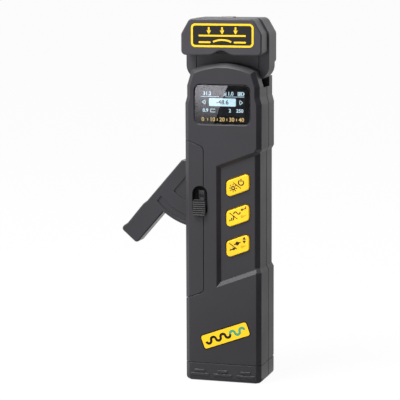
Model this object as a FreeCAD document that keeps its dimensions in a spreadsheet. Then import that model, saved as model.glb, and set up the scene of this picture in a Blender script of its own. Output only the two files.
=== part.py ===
import FreeCAD, Part
import math
import os
from types import SimpleNamespace

import Sketcher

# Optical fiber identifier: a hand-held clamp that bends a fibre over two light detectors.
# X runs to the right of the front face, Y to the back, Z up. The origin is the middle of the
# base. All lengths are in millimetres and all angles in degrees.

doc = FreeCAD.newDocument("fiber_identifier")
sheet = doc.addObject("Spreadsheet::Sheet", "Sizes")

# Driving dimensions. An inset, rise or drop is measured from the neighbour that carries the
# feature, so that neighbours stay together when one of them changes.
SIZES = {
    # Case
    "body_width": 43.2,
    "body_depth": 30.0,
    "case_height": 162.9,
    "shell_split": 2.0,
    "wall": 2.4,
    "edge_bevel": 2.4,
    "seam_gap": 0.35,
    "running_gap": 0.05,
    "foot_height": 10.5,
    "foot_round": 2.4,
    "shoulder_drop": 8.7,
    "shoulder_rise": 3.8,
    "shoulder_inset": 1.05,
    "waist_inset": 1.2,
    "waist_ramp": 2.0,
    "rear_rise": 5.8,
    "rear_draft": 1.5,
    "rear_bevel": 0.8,
    "parting_bevel": 0.5,
    # Tongue under the fibre slot, with the anvil and the light detectors
    "tongue_step": 1.0,
    "tongue_rise": 8.5,
    "tongue_inset": 2.65,
    "tongue_radius": 42.0,
    "tongue_wall": 3.0,
    "anvil_inset": 3.5,
    "anvil_rise": 2.1,
    "detector_inset": 6.4,
    "detector_radius": 2.3,
    "detector_cap_radius": 1.8,
    "detector_height": 4.2,
    "light_hole": 0.8,
    # Button recess, buttons, switches and board
    "slant_angle": 20.8,
    "recess_depth": 1.8,
    "recess_skin": 1.8,
    "recess_inset": 18.2,
    "recess_drop": 1.45,
    "recess_height": 67.2,
    "recess_run": 2.2,
    "key_inset": 5.4,
    "key_margin": 5.5,
    "key_height": 9.0,
    "key_rise": 16.4,
    "key_pitch": 16.7,
    "key_gap": 0.5,
    "key_proud": 0.9,
    "key_travel": 0.5,
    "key_flange": 0.9,
    "key_flange_thickness": 0.8,
    "key_round": 2.0,
    "key_bevel": 0.4,
    "key_stem": 0.5,
    "switch_side": 5.0,
    "switch_height": 1.5,
    "switch_cap": 0.5,
    "board_thickness": 1.4,
    "board_gap": 1.5,
    "board_drop": 8.4,
    "standoff_radius": 1.8,
    # Display
    "window_inset": 4.75,
    "window_drop": 19.8,
    "window_height": 21.6,
    "window_thickness": 1.2,
    "window_corner": 3.4,
    "window_rim": 0.4,
    "display_margin": 2.8,
    "display_rise": 3.7,
    "display_drop": 2.3,
    "display_thickness": 2.0,
    # Guard round the lever
    "guard_seam": 10.7,
    "guard_head": 2.5,
    "guard_sill": 7.56,
    "guard_corner": 3.0,
    "guard_thickness": 1.2,
    "guard_back": 8.0,
    # Lever
    "pivot_drop": 41.05,
    "pivot_radius": 1.5,
    "boss_wall": 1.8,
    "press_angle": 41.0,
    "lever_thickness": 9.6,
    "lever_outer": 9.95,
    "lever_inner": 1.2,
    "lever_shoulder": 8.6,
    "lever_length": 62.4,
    "handle_swell": 0.6,
    "handle_top": 39.8,
    "handle_ramp": 3.0,
    "handle_taper": 0.3,
    "lip_height": 0.7,
    "lip_rise": 5.0,
    "lip_ramp": 2.4,
    "lever_round": 1.5,
    "lever_tip": 1.8,
    "lever_edge": 0.6,
    "lever_gap": 0.5,
    "hub_radius": 6.0,
    "fan_radius": 37.9,
    "fan_angle": 33.0,
    "track_outer": 36.2,
    "track_inner": 32.3,
    "track_left": 5.7,
    "face_radius": 25.1,
    "face_left": 2.2,
    "track_depth": 0.7,
    "crank_radius": 4.6,
    "crank_pin_radius": 0.9,
    # Drawbar from the lever to the head
    "drawbar_width": 3.6,
    "drawbar_thickness": 1.6,
    "drawbar_clear": 0.8,
    "drawbar_gap": 0.2,
    "drawbar_slot_gap": 0.1,
    "drawbar_grip": 7.5,
    "drawbar_end": 3.6,
    "drawbar_pin_radius": 0.8,
    # Lock
    "lock_inset": 8.8,
    "lock_rise": 8.15,
    "lock_slot_width": 8.6,
    "lock_slot_depth": 2.2,
    "lock_travel": 6.8,
    "thumb_width": 7.2,
    "thumb_height": 9.2,
    "thumb_proud": 2.0,
    "thumb_gap": 0.5,
    "thumb_bevel": 0.9,
    "thumb_foot": 1.6,
    "ridge_pitch": 1.15,
    "ridge_depth": 0.45,
    "stem_width": 3.2,
    "stem_height": 4.4,
    "stem_gap": 0.3,
    "hook_thickness": 1.1,
    "hook_width": 3.0,
    "hook_arm": 3.0,
    "hook_bite": 2.4,
    # Slide guide, posts and return spring
    "guide_height": 10.5,
    "post_spread": 10.0,
    "post_back": 1.5,
    "post_radius": 1.5,
    "post_bevel": 0.4,
    "post_seat": 8.0,
    "post_reach": 10.6,
    "spring_radius": 2.6,
    "wire_half": 0.4,
    "spring_turns": 4.0,
    "spring_seat": 1.0,
    "spring_bore": 8.6,
    # Head
    "slot_height": 4.3,
    "head_height": 19.7,
    "head_overhang": 2.1,
    "corner_run": 4.8,
    "corner_drop": 8.2,
    "head_round": 3.5,
    "cap_proud": 1.8,
    "cap_wall": 2.2,
    "cap_round": 2.5,
    "cap_bevel": 0.6,
    "crease_front": 4.2,
    "notch_half_width": 4.0,
    "notch_rise": 2.5,
    "notch_round": 10.0,
    "block_height": 7.0,
    "carriage_step": 0.9,
    "carriage_deep": 3.9,
    "carriage_clear": 3.4,
    "carriage_bevel": 0.8,
    "neck_clear": 0.48,
    "neck_round": 8.0,
    "neck_gap_front": 1.0,
    "neck_gap_back": 0.4,
    "line_inset": 5.85,
    "line_width": 0.4,
    "lamp_room_rise": 5.0,
    "lens_width": 8.8,
    "lens_depth": 4.0,
    "lens_front": 1.8,
    "lens_proud": 0.7,
    "lens_bevel": 0.5,
    "lamp_thickness": 1.4,
    # Screws
    "head_screw_inset": 9.65,
    "head_screw_drop": 6.2,
    "low_screw_inset": 6.4,
    "low_screw_rise": 12.7,
    "high_screw_drop": 19.7,
    "screw_clear": 0.8,
    "screw_radius": 1.1,
    "screw_head_radius": 2.0,
    "screw_head_height": 1.6,
    "head_screw_height": 0.8,
    "screw_sink": 0.6,
    # Battery cell, ports and bottom cap
    "cell_side_gap": 1.3,
    "cell_back_gap": 3.5,
    "cell_radius": 7.1,
    "cell_length": 50.0,
    "cell_nub_radius": 2.4,
    "cell_nub": 1.2,
    "cell_rib": 2.0,
    "rib_inset": 11.5,
    "plate_flange": 3.6,
    "plate_inset": 3.2,
    "spigot_height": 6.0,
    "spigot_gap": 0.35,
    "port_inset": 1.0,
    "ferrule_radius": 1.27,
    "port_radius": 3.2,
    "port_neck_radius": 2.0,
    "port_neck": 3.2,
    "meter_radius": 3.4,
    "meter_bore": 1.6,
    "port_length": 9.0,
    "port_proud": 1.2,
    "socket_width": 8.0,
    "socket_depth": 3.2,
    "socket_skin": 0.4,
    "socket_tongue": 5.6,
    "grip_margin": 0.8,
    "grip_long": 10.4,
    "grip_short": 5.8,
    "grip_height": 1.2,
    "grip_low": 3.9,
    "grip_high": 6.0,
    "grip_proud": 0.5,
}
for row, (alias, number) in enumerate(SIZES.items(), start=1):
    sheet.set(f"A{row}", alias.replace("_", " "))
    sheet.set(f"B{row}", str(number))
    sheet.setAlias(f"B{row}", alias)
doc.recompute()

NEAR = 0.01


class Size:
    """A number together with the sheet expression that gives it."""

    def __init__(self, text, value):
        self.text = text
        self.value = value

    def __add__(self, other):
        return combined(self, "+", other)

    def __radd__(self, other):
        return combined(other, "+", self)

    def __sub__(self, other):
        return combined(self, "-", other)

    def __rsub__(self, other):
        return combined(other, "-", self)

    def __mul__(self, other):
        return combined(self, "*", other)

    def __rmul__(self, other):
        return combined(other, "*", self)

    def __truediv__(self, other):
        return combined(self, "/", other)

    def __neg__(self):
        return combined(0, "-", self)


def sized(item):
    return item if isinstance(item, Size) else Size(str(item), float(item))


def combined(first, sign, second):
    first = sized(first)
    second = sized(second)
    results = {
        "+": lambda: first.value + second.value,
        "-": lambda: first.value - second.value,
        "*": lambda: first.value * second.value,
        "/": lambda: first.value / second.value,
    }
    return Size(f"({first.text} {sign} {second.text})", results[sign]())


def sine(angle):
    return Size(f"sin({angle.text})", math.sin(math.radians(angle.value)))


def cosine(angle):
    return Size(f"cos({angle.text})", math.cos(math.radians(angle.value)))


def tangent(angle):
    return Size(f"tan({angle.text})", math.tan(math.radians(angle.value)))


def root(square):
    return Size(f"sqrt({square.text})", math.sqrt(square.value))


s = SimpleNamespace(**{a: Size("Sizes." + a, float(sheet.get(a))) for a in SIZES})


def bind(item, path, size):
    item.setExpression(path, sized(size).text)


# Sketches, pads and pockets. A corner is (x, y), or (x, y, radius) where an arc leads to it.

PLANES = {"x": "YZ_Plane", "y": "XZ_Plane", "z": "XY_Plane"}


def sketch_on(owner, axis, place, shift=None):
    drawn = owner.newObject("Sketcher::SketchObject", owner.Name + "_sketch")
    plane = next(p for p in owner.Origin.OriginFeatures if p.Role == PLANES[axis])
    drawn.AttachmentSupport = [(plane, "")]
    drawn.MapMode = "FlatFace"
    bind(drawn, "AttachmentOffset.Base.z", -sized(place) if axis == "y" else place)
    if shift:
        bind(drawn, "AttachmentOffset.Base.x", shift)
    return drawn


def hold(drawn, kind, geometry, end, size):
    size = sized(size)
    index = drawn.addConstraint(Sketcher.Constraint(kind, geometry, end, size.value))
    if "Sizes" in size.text:
        bind(drawn, f"Constraints[{index}]", size)


def hold_radius(drawn, geometry, size):
    index = drawn.addConstraint(Sketcher.Constraint("Radius", geometry, sized(size).value))
    bind(drawn, f"Constraints[{index}]", size)


def point(corner):
    return FreeCAD.Vector(sized(corner[0]).value, sized(corner[1]).value, 0)


def side(first, second):
    """The line or arc that leads from one corner of an outline to the next."""
    start = point(first)
    finish = point(second)
    if len(second) == 2:
        return Part.LineSegment(start, finish)
    radius = second[2].value
    chord = finish - start
    left = FreeCAD.Vector(-chord.y, chord.x, 0).normalize()
    middle = (start + finish) / 2 + left * math.sqrt(radius**2 - (chord.Length / 2) ** 2)
    angles = [math.atan2(p.y - middle.y, p.x - middle.x) for p in (start, finish)]
    if angles[1] < angles[0]:
        angles[1] += 2 * math.pi
    circle = Part.Circle(middle, FreeCAD.Vector(0, 0, 1), radius)
    return Part.ArcOfCircle(circle, *angles)


def trace(drawn, corners):
    """Draw a closed outline, its corners run anticlockwise and held to their sizes."""
    following = corners[1:] + corners[:1]
    lines = [drawn.addGeometry(side(*ends)) for ends in zip(corners, following)]
    for index, corner in enumerate(corners):
        line = lines[index]
        before = lines[index - 1]
        drawn.addConstraint(Sketcher.Constraint("Coincident", before, 2, line, 1))
        hold(drawn, "DistanceX", line, 1, corner[0])
        hold(drawn, "DistanceY", line, 1, corner[1])
        if len(corner) == 3:
            hold_radius(drawn, before, corner[2])


class Ring(SimpleNamespace):
    """A round outline: x, y and radius."""


def draw(drawn, outlines):
    for outline in outlines:
        if not isinstance(outline, Ring):
            trace(drawn, outline)
            continue
        centre = point((outline.x, outline.y))
        circle = Part.Circle(centre, FreeCAD.Vector(0, 0, 1), sized(outline.radius).value)
        geometry = drawn.addGeometry(circle)
        hold(drawn, "DistanceX", geometry, 3, outline.x)
        hold(drawn, "DistanceY", geometry, 3, outline.y)
        hold_radius(drawn, geometry, outline.radius)


def rings(spots, radius):
    return [Ring(x=x, y=y, radius=radius) for x, y in spots]


def mirrored(x, y):
    """A spot and its mirror image across the middle plane."""
    return [(-x, y), (x, y)]


def rectangle(left, right, low, high):
    return [(left, low), (right, low), (right, high), (left, high)]


def body(label):
    made = doc.addObject("PartDesign::Body", label)
    made.Label = label
    return made


def pad(owner, axis, start, end, *outlines):
    drawn = sketch_on(owner, axis, start)
    draw(drawn, outlines)
    made = owner.newObject("PartDesign::Pad", owner.Name + "_pad")
    made.Profile = drawn
    bind(made, "Length", end - start)
    made.Reversed = axis == "y"
    return made


def pocket(owner, axis, start, end, *outlines):
    drawn = sketch_on(owner, axis, start)
    draw(drawn, outlines)
    made = owner.newObject("PartDesign::Pocket", owner.Name + "_pocket")
    made.Profile = drawn
    bind(made, "Length", end - start)
    made.Reversed = axis != "y"
    return made


def turned(owner, x, y, profile):
    """Revolve a profile of (radius, height) corners about an upright line."""
    drawn = sketch_on(owner, "y", y, shift=x)
    trace(drawn, profile)
    made = owner.newObject("PartDesign::Revolution", owner.Name + "_turned")
    made.Profile = drawn
    made.ReferenceAxis = (drawn, ["V_Axis"])
    made.Angle = 360
    return made


def lies(edge, **places):
    """True where the whole edge has the given coordinates."""
    ends = [edge.valueAt(edge.FirstParameter), edge.valueAt(edge.LastParameter)]
    return all(
        abs(getattr(p, axis) - sized(place).value) < NEAR
        for axis, place in places.items()
        for p in ends + [edge.CenterOfMass]
    )


def spans(edge, size):
    return abs(edge.Length - size.value) < NEAR


def soften(owner, kind, size, wanted):
    """Add a Fillet or a Chamfer on the wanted edges of the body's last feature."""
    doc.recompute()
    last = owner.Tip
    names = [f"Edge{n}" for n, edge in enumerate(last.Shape.Edges, start=1) if wanted(edge)]
    made = owner.newObject("PartDesign::" + kind, owner.Name + "_" + kind.lower())
    made.Base = (last, names)
    bind(made, "Radius" if kind == "Fillet" else "Size", size)
    return made


def box(label, x, y, z):
    made = doc.addObject("Part::Box", label)
    made.Label = label
    for axis, side_name, (low, high) in zip("xyz", ("Length", "Width", "Height"), (x, y, z)):
        bind(made, side_name, sized(high) - low)
        bind(made, "Placement.Base." + axis, low)
    return made


def rod(label, x, z, y_from, y_to, radius):
    """A cylinder along Y."""
    made = doc.addObject("Part::Cylinder", label)
    made.Label = label
    made.Placement.Rotation = FreeCAD.Rotation(FreeCAD.Vector(1, 0, 0), -90)
    bind(made, "Radius", radius)
    bind(made, "Height", sized(y_to) - y_from)
    for axis, place in zip("xyz", (x, y_from, z)):
        bind(made, "Placement.Base." + axis, place)
    return made


def joined(kind, label, *items):
    made = doc.addObject("Part::" + kind, label)
    made.Label = label
    made.Shapes = list(items)
    return made


def meet(label, *items):
    return joined("MultiCommon", label, *items)


def fuse(label, *items):
    return joined("MultiFuse", label, *items)


def cut(label, base, tool):
    made = doc.addObject("Part::Cut", label)
    made.Label = label
    made.Base = base
    made.Tool = tool
    return made


def group(label, items):
    made = doc.addObject("Part::Compound", label)
    made.Label = label
    made.Links = items
    return made


# Places that several pieces share.

half_width = s.body_width / 2
front = -s.body_depth / 2
rear = s.body_depth / 2
shoulder_bottom = s.case_height - s.shoulder_drop
shoulder_top = shoulder_bottom + s.shoulder_rise
shoulder_half = half_width - s.shoulder_inset
waist_right = half_width - s.waist_inset
rear_top = s.case_height + s.rear_rise
slant = tangent(s.slant_angle)

recess_floor = front + s.recess_depth
room_front = recess_floor + s.recess_skin
room_back = rear - s.wall
room_left = -half_width + s.wall
room_right = waist_right - s.wall

pivot_x = room_left + 2 * s.drawbar_gap + s.crank_pin_radius + s.crank_radius
pivot_z = s.case_height - s.pivot_drop
lever_front = -s.lever_thickness / 2
lever_back = s.lever_thickness / 2
handle_outer = s.lever_outer + s.handle_swell
handle_end = handle_outer - s.handle_taper
lip_outer = handle_end + s.lip_height
lever_low = pivot_z - s.lever_gap - root(
    s.lever_length * s.lever_length + lip_outer * lip_outer
)
half_press = s.press_angle / 2
crank_x = pivot_x - s.crank_radius * cosine(half_press)
crank_z = pivot_z + s.crank_radius * sine(half_press)
head_travel = 2 * s.crank_radius * sine(half_press)
drawbar_front = lever_back + s.drawbar_clear
drawbar_back = drawbar_front + s.drawbar_thickness
drawbar_left = crank_x - s.crank_pin_radius - s.drawbar_gap
drawbar_right = drawbar_left + s.drawbar_width

recess_left = -half_width + s.recess_inset
recess_top = pivot_z - s.recess_drop
recess_bottom = recess_top - s.recess_height
recess_reach = slant * (half_width - recess_left)
waist_bottom = recess_bottom + recess_reach + s.recess_run / 2
waist_top = recess_top + recess_reach - s.recess_run

key_names = ("set", "reference", "power")
key_left = recess_left + s.key_inset
key_width = waist_right - s.key_margin - key_left
key_lowest = recess_bottom + s.key_rise
key_back = room_front + s.key_flange_thickness + s.key_stem
switch_front = key_back + s.key_travel + s.running_gap
board_front = switch_front + s.switch_height
board_back = board_front + s.board_thickness

screw_post = s.screw_head_radius + s.boss_wall
low_screw_x = half_width - s.low_screw_inset
high_screw_x = -drawbar_right - s.screw_clear - screw_post
high_screw_z = s.case_height - s.high_screw_drop
case_screws_at = mirrored(low_screw_x, s.foot_height + s.low_screw_rise)
case_screws_at += mirrored(high_screw_x, high_screw_z)

guard_seam = -half_width + s.guard_seam
guard_top = pivot_z + s.hub_radius + s.guard_head
guard_bottom = lever_low - s.guard_sill

rim_bottom = pivot_z - s.fan_radius
lock_x = -half_width + s.lock_inset
lock_floor = front + s.lock_slot_depth
lock_slot_bottom = rim_bottom + s.lock_rise
thumb_bottom = lock_slot_bottom + s.thumb_gap
thumb_top = thumb_bottom + s.thumb_height
lock_slot_top = thumb_top + s.lock_travel + s.thumb_gap
stem_bottom = thumb_bottom + (s.thumb_height - s.stem_height) / 2
stem_top = stem_bottom + s.stem_height
hook_front = room_front + s.stem_gap
hook_back = hook_front + s.hook_thickness
hook_left = pivot_x + s.lever_inner + s.lever_gap
hook_right = hook_left + s.hook_width
tooth_top = rim_bottom + s.hook_bite - s.lock_travel
hook_arm_top = tooth_top - s.hook_bite - s.lever_gap
hook_arm_bottom = hook_arm_top - s.hook_arm

board_left = hook_right + s.board_gap
board_right = room_right - s.board_gap
board_bottom = key_lowest - s.board_drop
board_top = high_screw_z - screw_post - s.board_gap / 2

window_half = shoulder_half - s.window_inset
window_bottom = s.case_height - s.window_drop
window_top = window_bottom + s.window_height
window_back = front + s.window_thickness

tongue_half = shoulder_half - s.tongue_inset
tongue_bottom = s.case_height + s.tongue_step
tongue_side_top = tongue_bottom + s.tongue_rise
tongue_centre = tongue_side_top - root(
    s.tongue_radius * s.tongue_radius - tongue_half * tongue_half
)
neck_front = -s.crease_front
neck_bottom = s.case_height + head_travel + s.neck_clear
slot_face = neck_front - s.neck_gap_front
slot_back = drawbar_back + s.neck_gap_back
anvil_half = tongue_half - s.anvil_inset
anvil_bottom = s.case_height + s.anvil_rise
anvil_front = front + s.tongue_wall
anvil_middle = (anvil_front + slot_face) / 2
detectors_at = mirrored(anvil_half - s.detector_inset, anvil_middle)

cap_front = front - s.cap_proud
cap_half = shoulder_half + s.head_overhang
cap_bottom = tongue_centre + s.tongue_radius + s.slot_height
carriage_half = cap_half + s.carriage_step
carriage_back = drawbar_back + s.carriage_deep
carriage_bottom = rear_top + head_travel + s.carriage_clear
head_top = cap_bottom + s.head_height
head_screws_at = mirrored(cap_half - s.head_screw_inset, head_top - s.head_screw_drop)
lamp_room_bottom = cap_bottom + s.lamp_room_rise
lens_low = head_top - 2 * s.cap_wall
posts_at = mirrored(s.post_spread, s.post_back)
post_top = neck_bottom + s.post_reach
spring_low = s.case_height - s.spring_seat
spring_top = neck_bottom + s.spring_bore
spring_room = s.spring_radius + 2 * s.wire_half
drawbar_pin_x = (drawbar_left + drawbar_right) / 2
drawbar_pin_z = neck_bottom + s.drawbar_grip / 2

cell_bottom = s.foot_height + s.plate_flange
cell_top = cell_bottom + s.cell_length
cell_x = low_screw_x - screw_post - s.cell_side_gap - s.cell_radius
cell_y = room_back - s.cell_back_gap - s.cell_radius
spigot_low = s.foot_height - s.spigot_height
port_low = spigot_low + s.port_proud
port_y = (room_front + room_back) / 2
light_port_x = room_left + s.plate_inset + s.port_inset + s.port_radius
meter_port_x = room_right - s.plate_inset - s.port_inset - s.meter_radius


def key_outline(index, grow):
    """The slanted outline of one key, counted from the lowest, grown by a clearance."""
    left = key_left - grow
    right = key_left + key_width + grow
    low = key_lowest + index * s.key_pitch - grow
    high = low + s.key_height + 2 * grow
    rise = slant * (key_width + 2 * grow)
    return [(left, low), (right, low + rise), (right, high + rise), (left, high)]


def key_middle(index):
    low = key_lowest + index * s.key_pitch
    return key_left + key_width / 2, low + (s.key_height + slant * key_width) / 2


def right_side(top):
    """The right side of the case from the base up, with its waist."""
    return [
        (half_width, s.foot_height),
        (half_width, waist_bottom - s.waist_ramp),
        (waist_right, waist_bottom),
        (waist_right, waist_top),
        (half_width, waist_top + s.waist_ramp),
        (half_width, shoulder_bottom),
        (shoulder_half, shoulder_top),
        (shoulder_half, top),
    ]


def left_side(top):
    """The left side of the case from the top down."""
    return [
        (-shoulder_half, top),
        (-shoulder_half, shoulder_top),
        (-half_width, shoulder_bottom),
        (-half_width, s.foot_height),
    ]


def case_rooms(owner, y_from, y_to, neck_from, neck_to):
    """The room inside a shell, the slot that the neck runs in and the slide guide's seat."""
    room = rectangle(room_left, room_right, s.foot_height - s.wall, s.case_height - s.wall)
    pocket(owner, "y", y_from, y_to, room)
    neck_slot = rectangle(-s.body_width, s.body_width, s.case_height, head_top)
    pocket(owner, "y", neck_from, neck_to, neck_slot)
    guide_room = rectangle(room_left, room_right, s.case_height - 2 * s.wall, head_top)
    pocket(owner, "y", neck_from, neck_to, guide_room)


def lock_slot(owner):
    """The round-ended slot that the lock slider runs in, and its narrow way through."""
    radius = s.lock_slot_width / 2
    low = lock_slot_bottom + radius
    high = lock_slot_top - radius
    slot = [
        (lock_x - radius, high, radius),
        (lock_x - radius, low),
        (lock_x, low - radius, radius),
        (lock_x + radius, low, radius),
        (lock_x + radius, high),
        (lock_x, high + radius, radius),
    ]
    pocket(owner, "y", front, lock_floor, slot)
    half = s.stem_width / 2 + s.stem_gap
    way_top = stem_top + s.lock_travel + s.stem_gap
    way = rectangle(lock_x - half, lock_x + half, stem_bottom - s.stem_gap, way_top)
    pocket(owner, "y", front, room_front, way)


def guard_form(label, gap):
    """The panel round the lever: front leg, bevelled corner and side leg, grown by a gap."""
    made = body(label)
    inner = s.edge_bevel + s.guard_thickness * (root(sized(2)) - 1)
    back = s.guard_back + gap
    seam = guard_seam + gap
    section = [
        (-half_width, back),
        (-half_width, front + s.edge_bevel),
        (-half_width + s.edge_bevel, front),
        (seam, front),
        (seam, front + s.guard_thickness),
        (-half_width + inner, front + s.guard_thickness),
        (-half_width + s.guard_thickness, front + inner),
        (-half_width + s.guard_thickness, back),
    ]
    rise = slant * s.guard_seam
    sill = guard_bottom - gap
    head = guard_top + gap
    pad(made, "z", sill - rise, head + rise, section)
    below = [(-half_width, sill - rise), (seam, sill - rise), (seam, sill)]
    above = [(-half_width, head + rise), (seam, head), (seam, head + rise)]
    pocket(made, "y", front, back, below)
    pocket(made, "y", front, back, above)
    soften(
        made,
        "Fillet",
        s.guard_corner + gap,
        lambda e: lies(e, x=seam) and spans(e, s.guard_thickness),
    )
    return made


def lever_window(label, high):
    """The room that the lever swings through in the left wall."""
    half = s.lever_thickness / 2 + s.lever_gap
    sides = (-half_width - s.wall, room_left + s.running_gap)
    return box(label, sides, (-half, half), (lever_low, high))


def display_outline():
    half = window_half - s.display_margin
    return rectangle(-half, half, window_bottom + s.display_rise, window_top - s.display_drop)


def spigot_plan(grow):
    """The plan of the spigot under the case, grown by a clearance."""
    return rectangle(
        room_left + s.plate_inset - grow,
        room_right - s.plate_inset + grow,
        room_front + s.plate_inset - grow,
        room_back - s.plate_inset + grow,
    )


def socket_plan(inset):
    half = s.socket_width / 2 - inset
    deep = s.socket_depth / 2 - inset
    return rectangle(-half, half, port_y - deep, port_y + deep)


def lens_plan():
    radius = s.lens_depth / 2
    half = s.lens_width / 2 - radius
    middle = -s.lens_front
    return [
        (-half, middle - radius, radius),
        (half, middle - radius),
        (half + radius, middle, radius),
        (half, middle + radius, radius),
        (-half, middle + radius),
        (-half - radius, middle, radius),
    ]


def head_outline(half, bottom):
    drop = head_top - s.corner_drop
    return [
        (-half, bottom),
        (half, bottom),
        (half, drop),
        (half - s.corner_run, head_top),
        (-half + s.corner_run, head_top),
        (-half, drop),
    ]


# Case


def front_shell():
    made = body("front_shell_form")
    arch = [(tongue_half, tongue_side_top), (-tongue_half, tongue_side_top, s.tongue_radius)]
    outline = right_side(tongue_bottom) + arch + left_side(tongue_bottom)
    pad(made, "y", front, s.shell_split, outline)
    soften(
        made,
        "Chamfer",
        s.edge_bevel,
        lambda e: lies(e, y=front) and not lies(e, z=s.foot_height),
    )
    parting_groove(made)
    button_recess(made)
    case_rooms(made, room_front, s.shell_split, slot_face, s.shell_split)
    seat = rectangle(-anvil_half, anvil_half, anvil_bottom, head_top)
    pocket(made, "y", anvil_front, slot_face, seat)
    display_seat(made)
    lock_slot(made)
    keys = [key_outline(index, s.key_gap) for index in range(len(key_names))]
    pocket(made, "y", front, room_front, *keys)
    soften(made, "Fillet", s.key_round + s.key_gap, key_corner)
    pivot = [(pivot_x, pivot_z)]
    pad(made, "y", room_front, lever_front - s.lever_gap, *rings(pivot, s.pivot_radius + s.boss_wall))
    pad(made, "y", room_front, s.shell_split, *rings(case_screws_at, s.screw_radius + s.boss_wall))
    pad(made, "y", room_front, board_front, *rings(standoffs_at(), s.standoff_radius))
    pocket(made, "y", room_front, lever_front, *rings(pivot, s.pivot_radius))
    pocket(made, "y", room_front + s.wall, s.shell_split, *rings(case_screws_at, s.screw_radius))
    rebate = guard_form("front_shell_rebate", s.seam_gap)
    opening = lever_window("front_shell_opening", guard_top - s.seam_gap)
    return cut("front_shell", made, fuse("front_shell_cuts", rebate, opening))


def parting_groove(owner):
    """The bevel that each shell has where it meets the other."""
    above_foot = s.foot_height.value + NEAR
    soften(
        owner,
        "Chamfer",
        s.parting_bevel,
        lambda e: lies(e, y=s.shell_split) and e.CenterOfMass.z > above_foot,
    )


def button_recess(owner):
    """The sunk field round the keys: a loft open to the right, and the bevel of its floor there."""
    right = half_width + s.wall
    reach = slant * (right - recess_left)
    rim = sketch_on(owner, "y", front)
    trace(rim, [
        (recess_left, recess_bottom),
        (right, recess_bottom + reach),
        (right, recess_top + reach),
        (recess_left, recess_top),
    ])
    floor_left = recess_left + s.recess_run
    floor_rise = slant * s.recess_run
    floor_low = recess_bottom + s.recess_run
    floor_high = recess_top - s.recess_run
    floor = sketch_on(owner, "y", recess_floor)
    trace(floor, [
        (floor_left, floor_low + floor_rise),
        (right, floor_low + reach),
        (right, floor_high + reach),
        (floor_left, floor_high + floor_rise),
    ])
    sunk = owner.newObject("PartDesign::SubtractiveLoft", owner.Name + "_recess")
    sunk.Profile = rim
    sunk.Sections = [floor]
    sunk.Ruled = True
    waist_reach = slant * (waist_right - recess_left)
    low = floor_low + waist_reach
    high = floor_high + waist_reach
    pocket(owner, "z", low, high, bevel_section(waist_right, recess_floor))
    for inner, outer in ((low, waist_bottom - s.waist_ramp), (high, recess_top + recess_reach)):
        floor_end = sketch_on(owner, "z", inner)
        trace(floor_end, bevel_section(waist_right, recess_floor))
        front_end = sketch_on(owner, "z", outer)
        trace(front_end, bevel_section(half_width, front))
        turn = owner.newObject("PartDesign::SubtractiveLoft", owner.Name + "_bevel_turn")
        turn.Profile = floor_end
        turn.Sections = [front_end]
        turn.Ruled = True


def bevel_section(x, y):
    """What the bevel takes off a corner at the right of the front."""
    deep = s.edge_bevel
    return [(x - deep, y), (x + deep, y), (x + deep, y + 2 * deep)]


def display_seat(owner):
    """The window's pocket with round corners and a bevelled rim, and the way to the display."""
    rim = rectangle(-window_half, window_half, window_bottom, window_top)
    pocket(owner, "y", front, window_back, rim)
    soften(
        owner,
        "Fillet",
        s.window_corner,
        lambda e: spans(e, s.window_thickness) and in_window(e),
    )
    soften(owner, "Chamfer", s.window_rim, lambda e: lies(e, y=front) and in_window(e))
    pocket(owner, "y", front, room_front + s.wall, display_outline())


def in_window(edge):
    middle = edge.CenterOfMass
    beside = abs(middle.x) < window_half.value + NEAR
    return beside and window_bottom.value - NEAR < middle.z < window_top.value + NEAR


def key_corner(edge):
    """True for a corner of the openings that the keys come through."""
    depth = edge.CenterOfMass.y - recess_floor.value
    return spans(edge, s.recess_skin) and abs(depth - s.recess_skin.value / 2) < NEAR


def standoffs_at():
    """Posts that carry the main board, inside its corners."""
    inset = s.standoff_radius + s.lever_gap
    return [
        (board_left + inset, board_top - inset),
        (board_right - inset, board_top - inset),
        (board_right - inset, board_bottom + inset),
    ]


def rear_shell():
    made = body("rear_shell_form")
    blank = pad(made, "y", s.shell_split, rear, right_side(rear_top) + left_side(rear_top))
    bind(blank, "TaperAngle", -s.rear_draft)
    above_foot = s.foot_height.value + s.wall.value
    soften(
        made,
        "Chamfer",
        s.rear_bevel,
        lambda e: lies(e, y=rear) and e.CenterOfMass.z > above_foot,
    )
    parting_groove(made)
    case_rooms(made, s.shell_split, room_back, s.shell_split, slot_back)
    pivot = [(pivot_x, pivot_z)]
    pad(made, "y", slot_back, room_back, *rings(pivot, s.pivot_radius + s.boss_wall))
    pad(made, "y", s.shell_split, room_back, *rings(case_screws_at, screw_post))
    ribs = [
        rectangle(cell_x - s.cell_radius, cell_x + s.cell_radius, low, low + s.cell_rib)
        for low in (cell_bottom + s.rib_inset, cell_top - s.rib_inset - s.cell_rib)
    ]
    pad(made, "y", cell_y + s.cell_radius / 2, room_back, *ribs)
    pocket(made, "z", s.foot_height, cell_top, *rings([(cell_x, cell_y)], s.cell_radius))
    pocket(made, "y", slot_back, room_back, *rings(pivot, s.pivot_radius))
    pocket(made, "y", s.shell_split, rear, *rings(case_screws_at, s.screw_radius))
    head_seat = rear - s.screw_sink - s.screw_head_height
    pocket(made, "y", head_seat, rear, *rings(case_screws_at, s.screw_head_radius))
    rebate = guard_form("rear_shell_rebate", s.seam_gap)
    opening = lever_window("rear_shell_opening", guard_top - s.seam_gap)
    return cut("rear_shell", made, fuse("rear_shell_cuts", rebate, opening))


def lever_guard():
    made = guard_form("lever_guard_form", sized(0))
    lock_slot(made)
    return cut("lever_guard", made, lever_window("lever_guard_opening", pivot_z + s.lever_gap))


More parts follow.
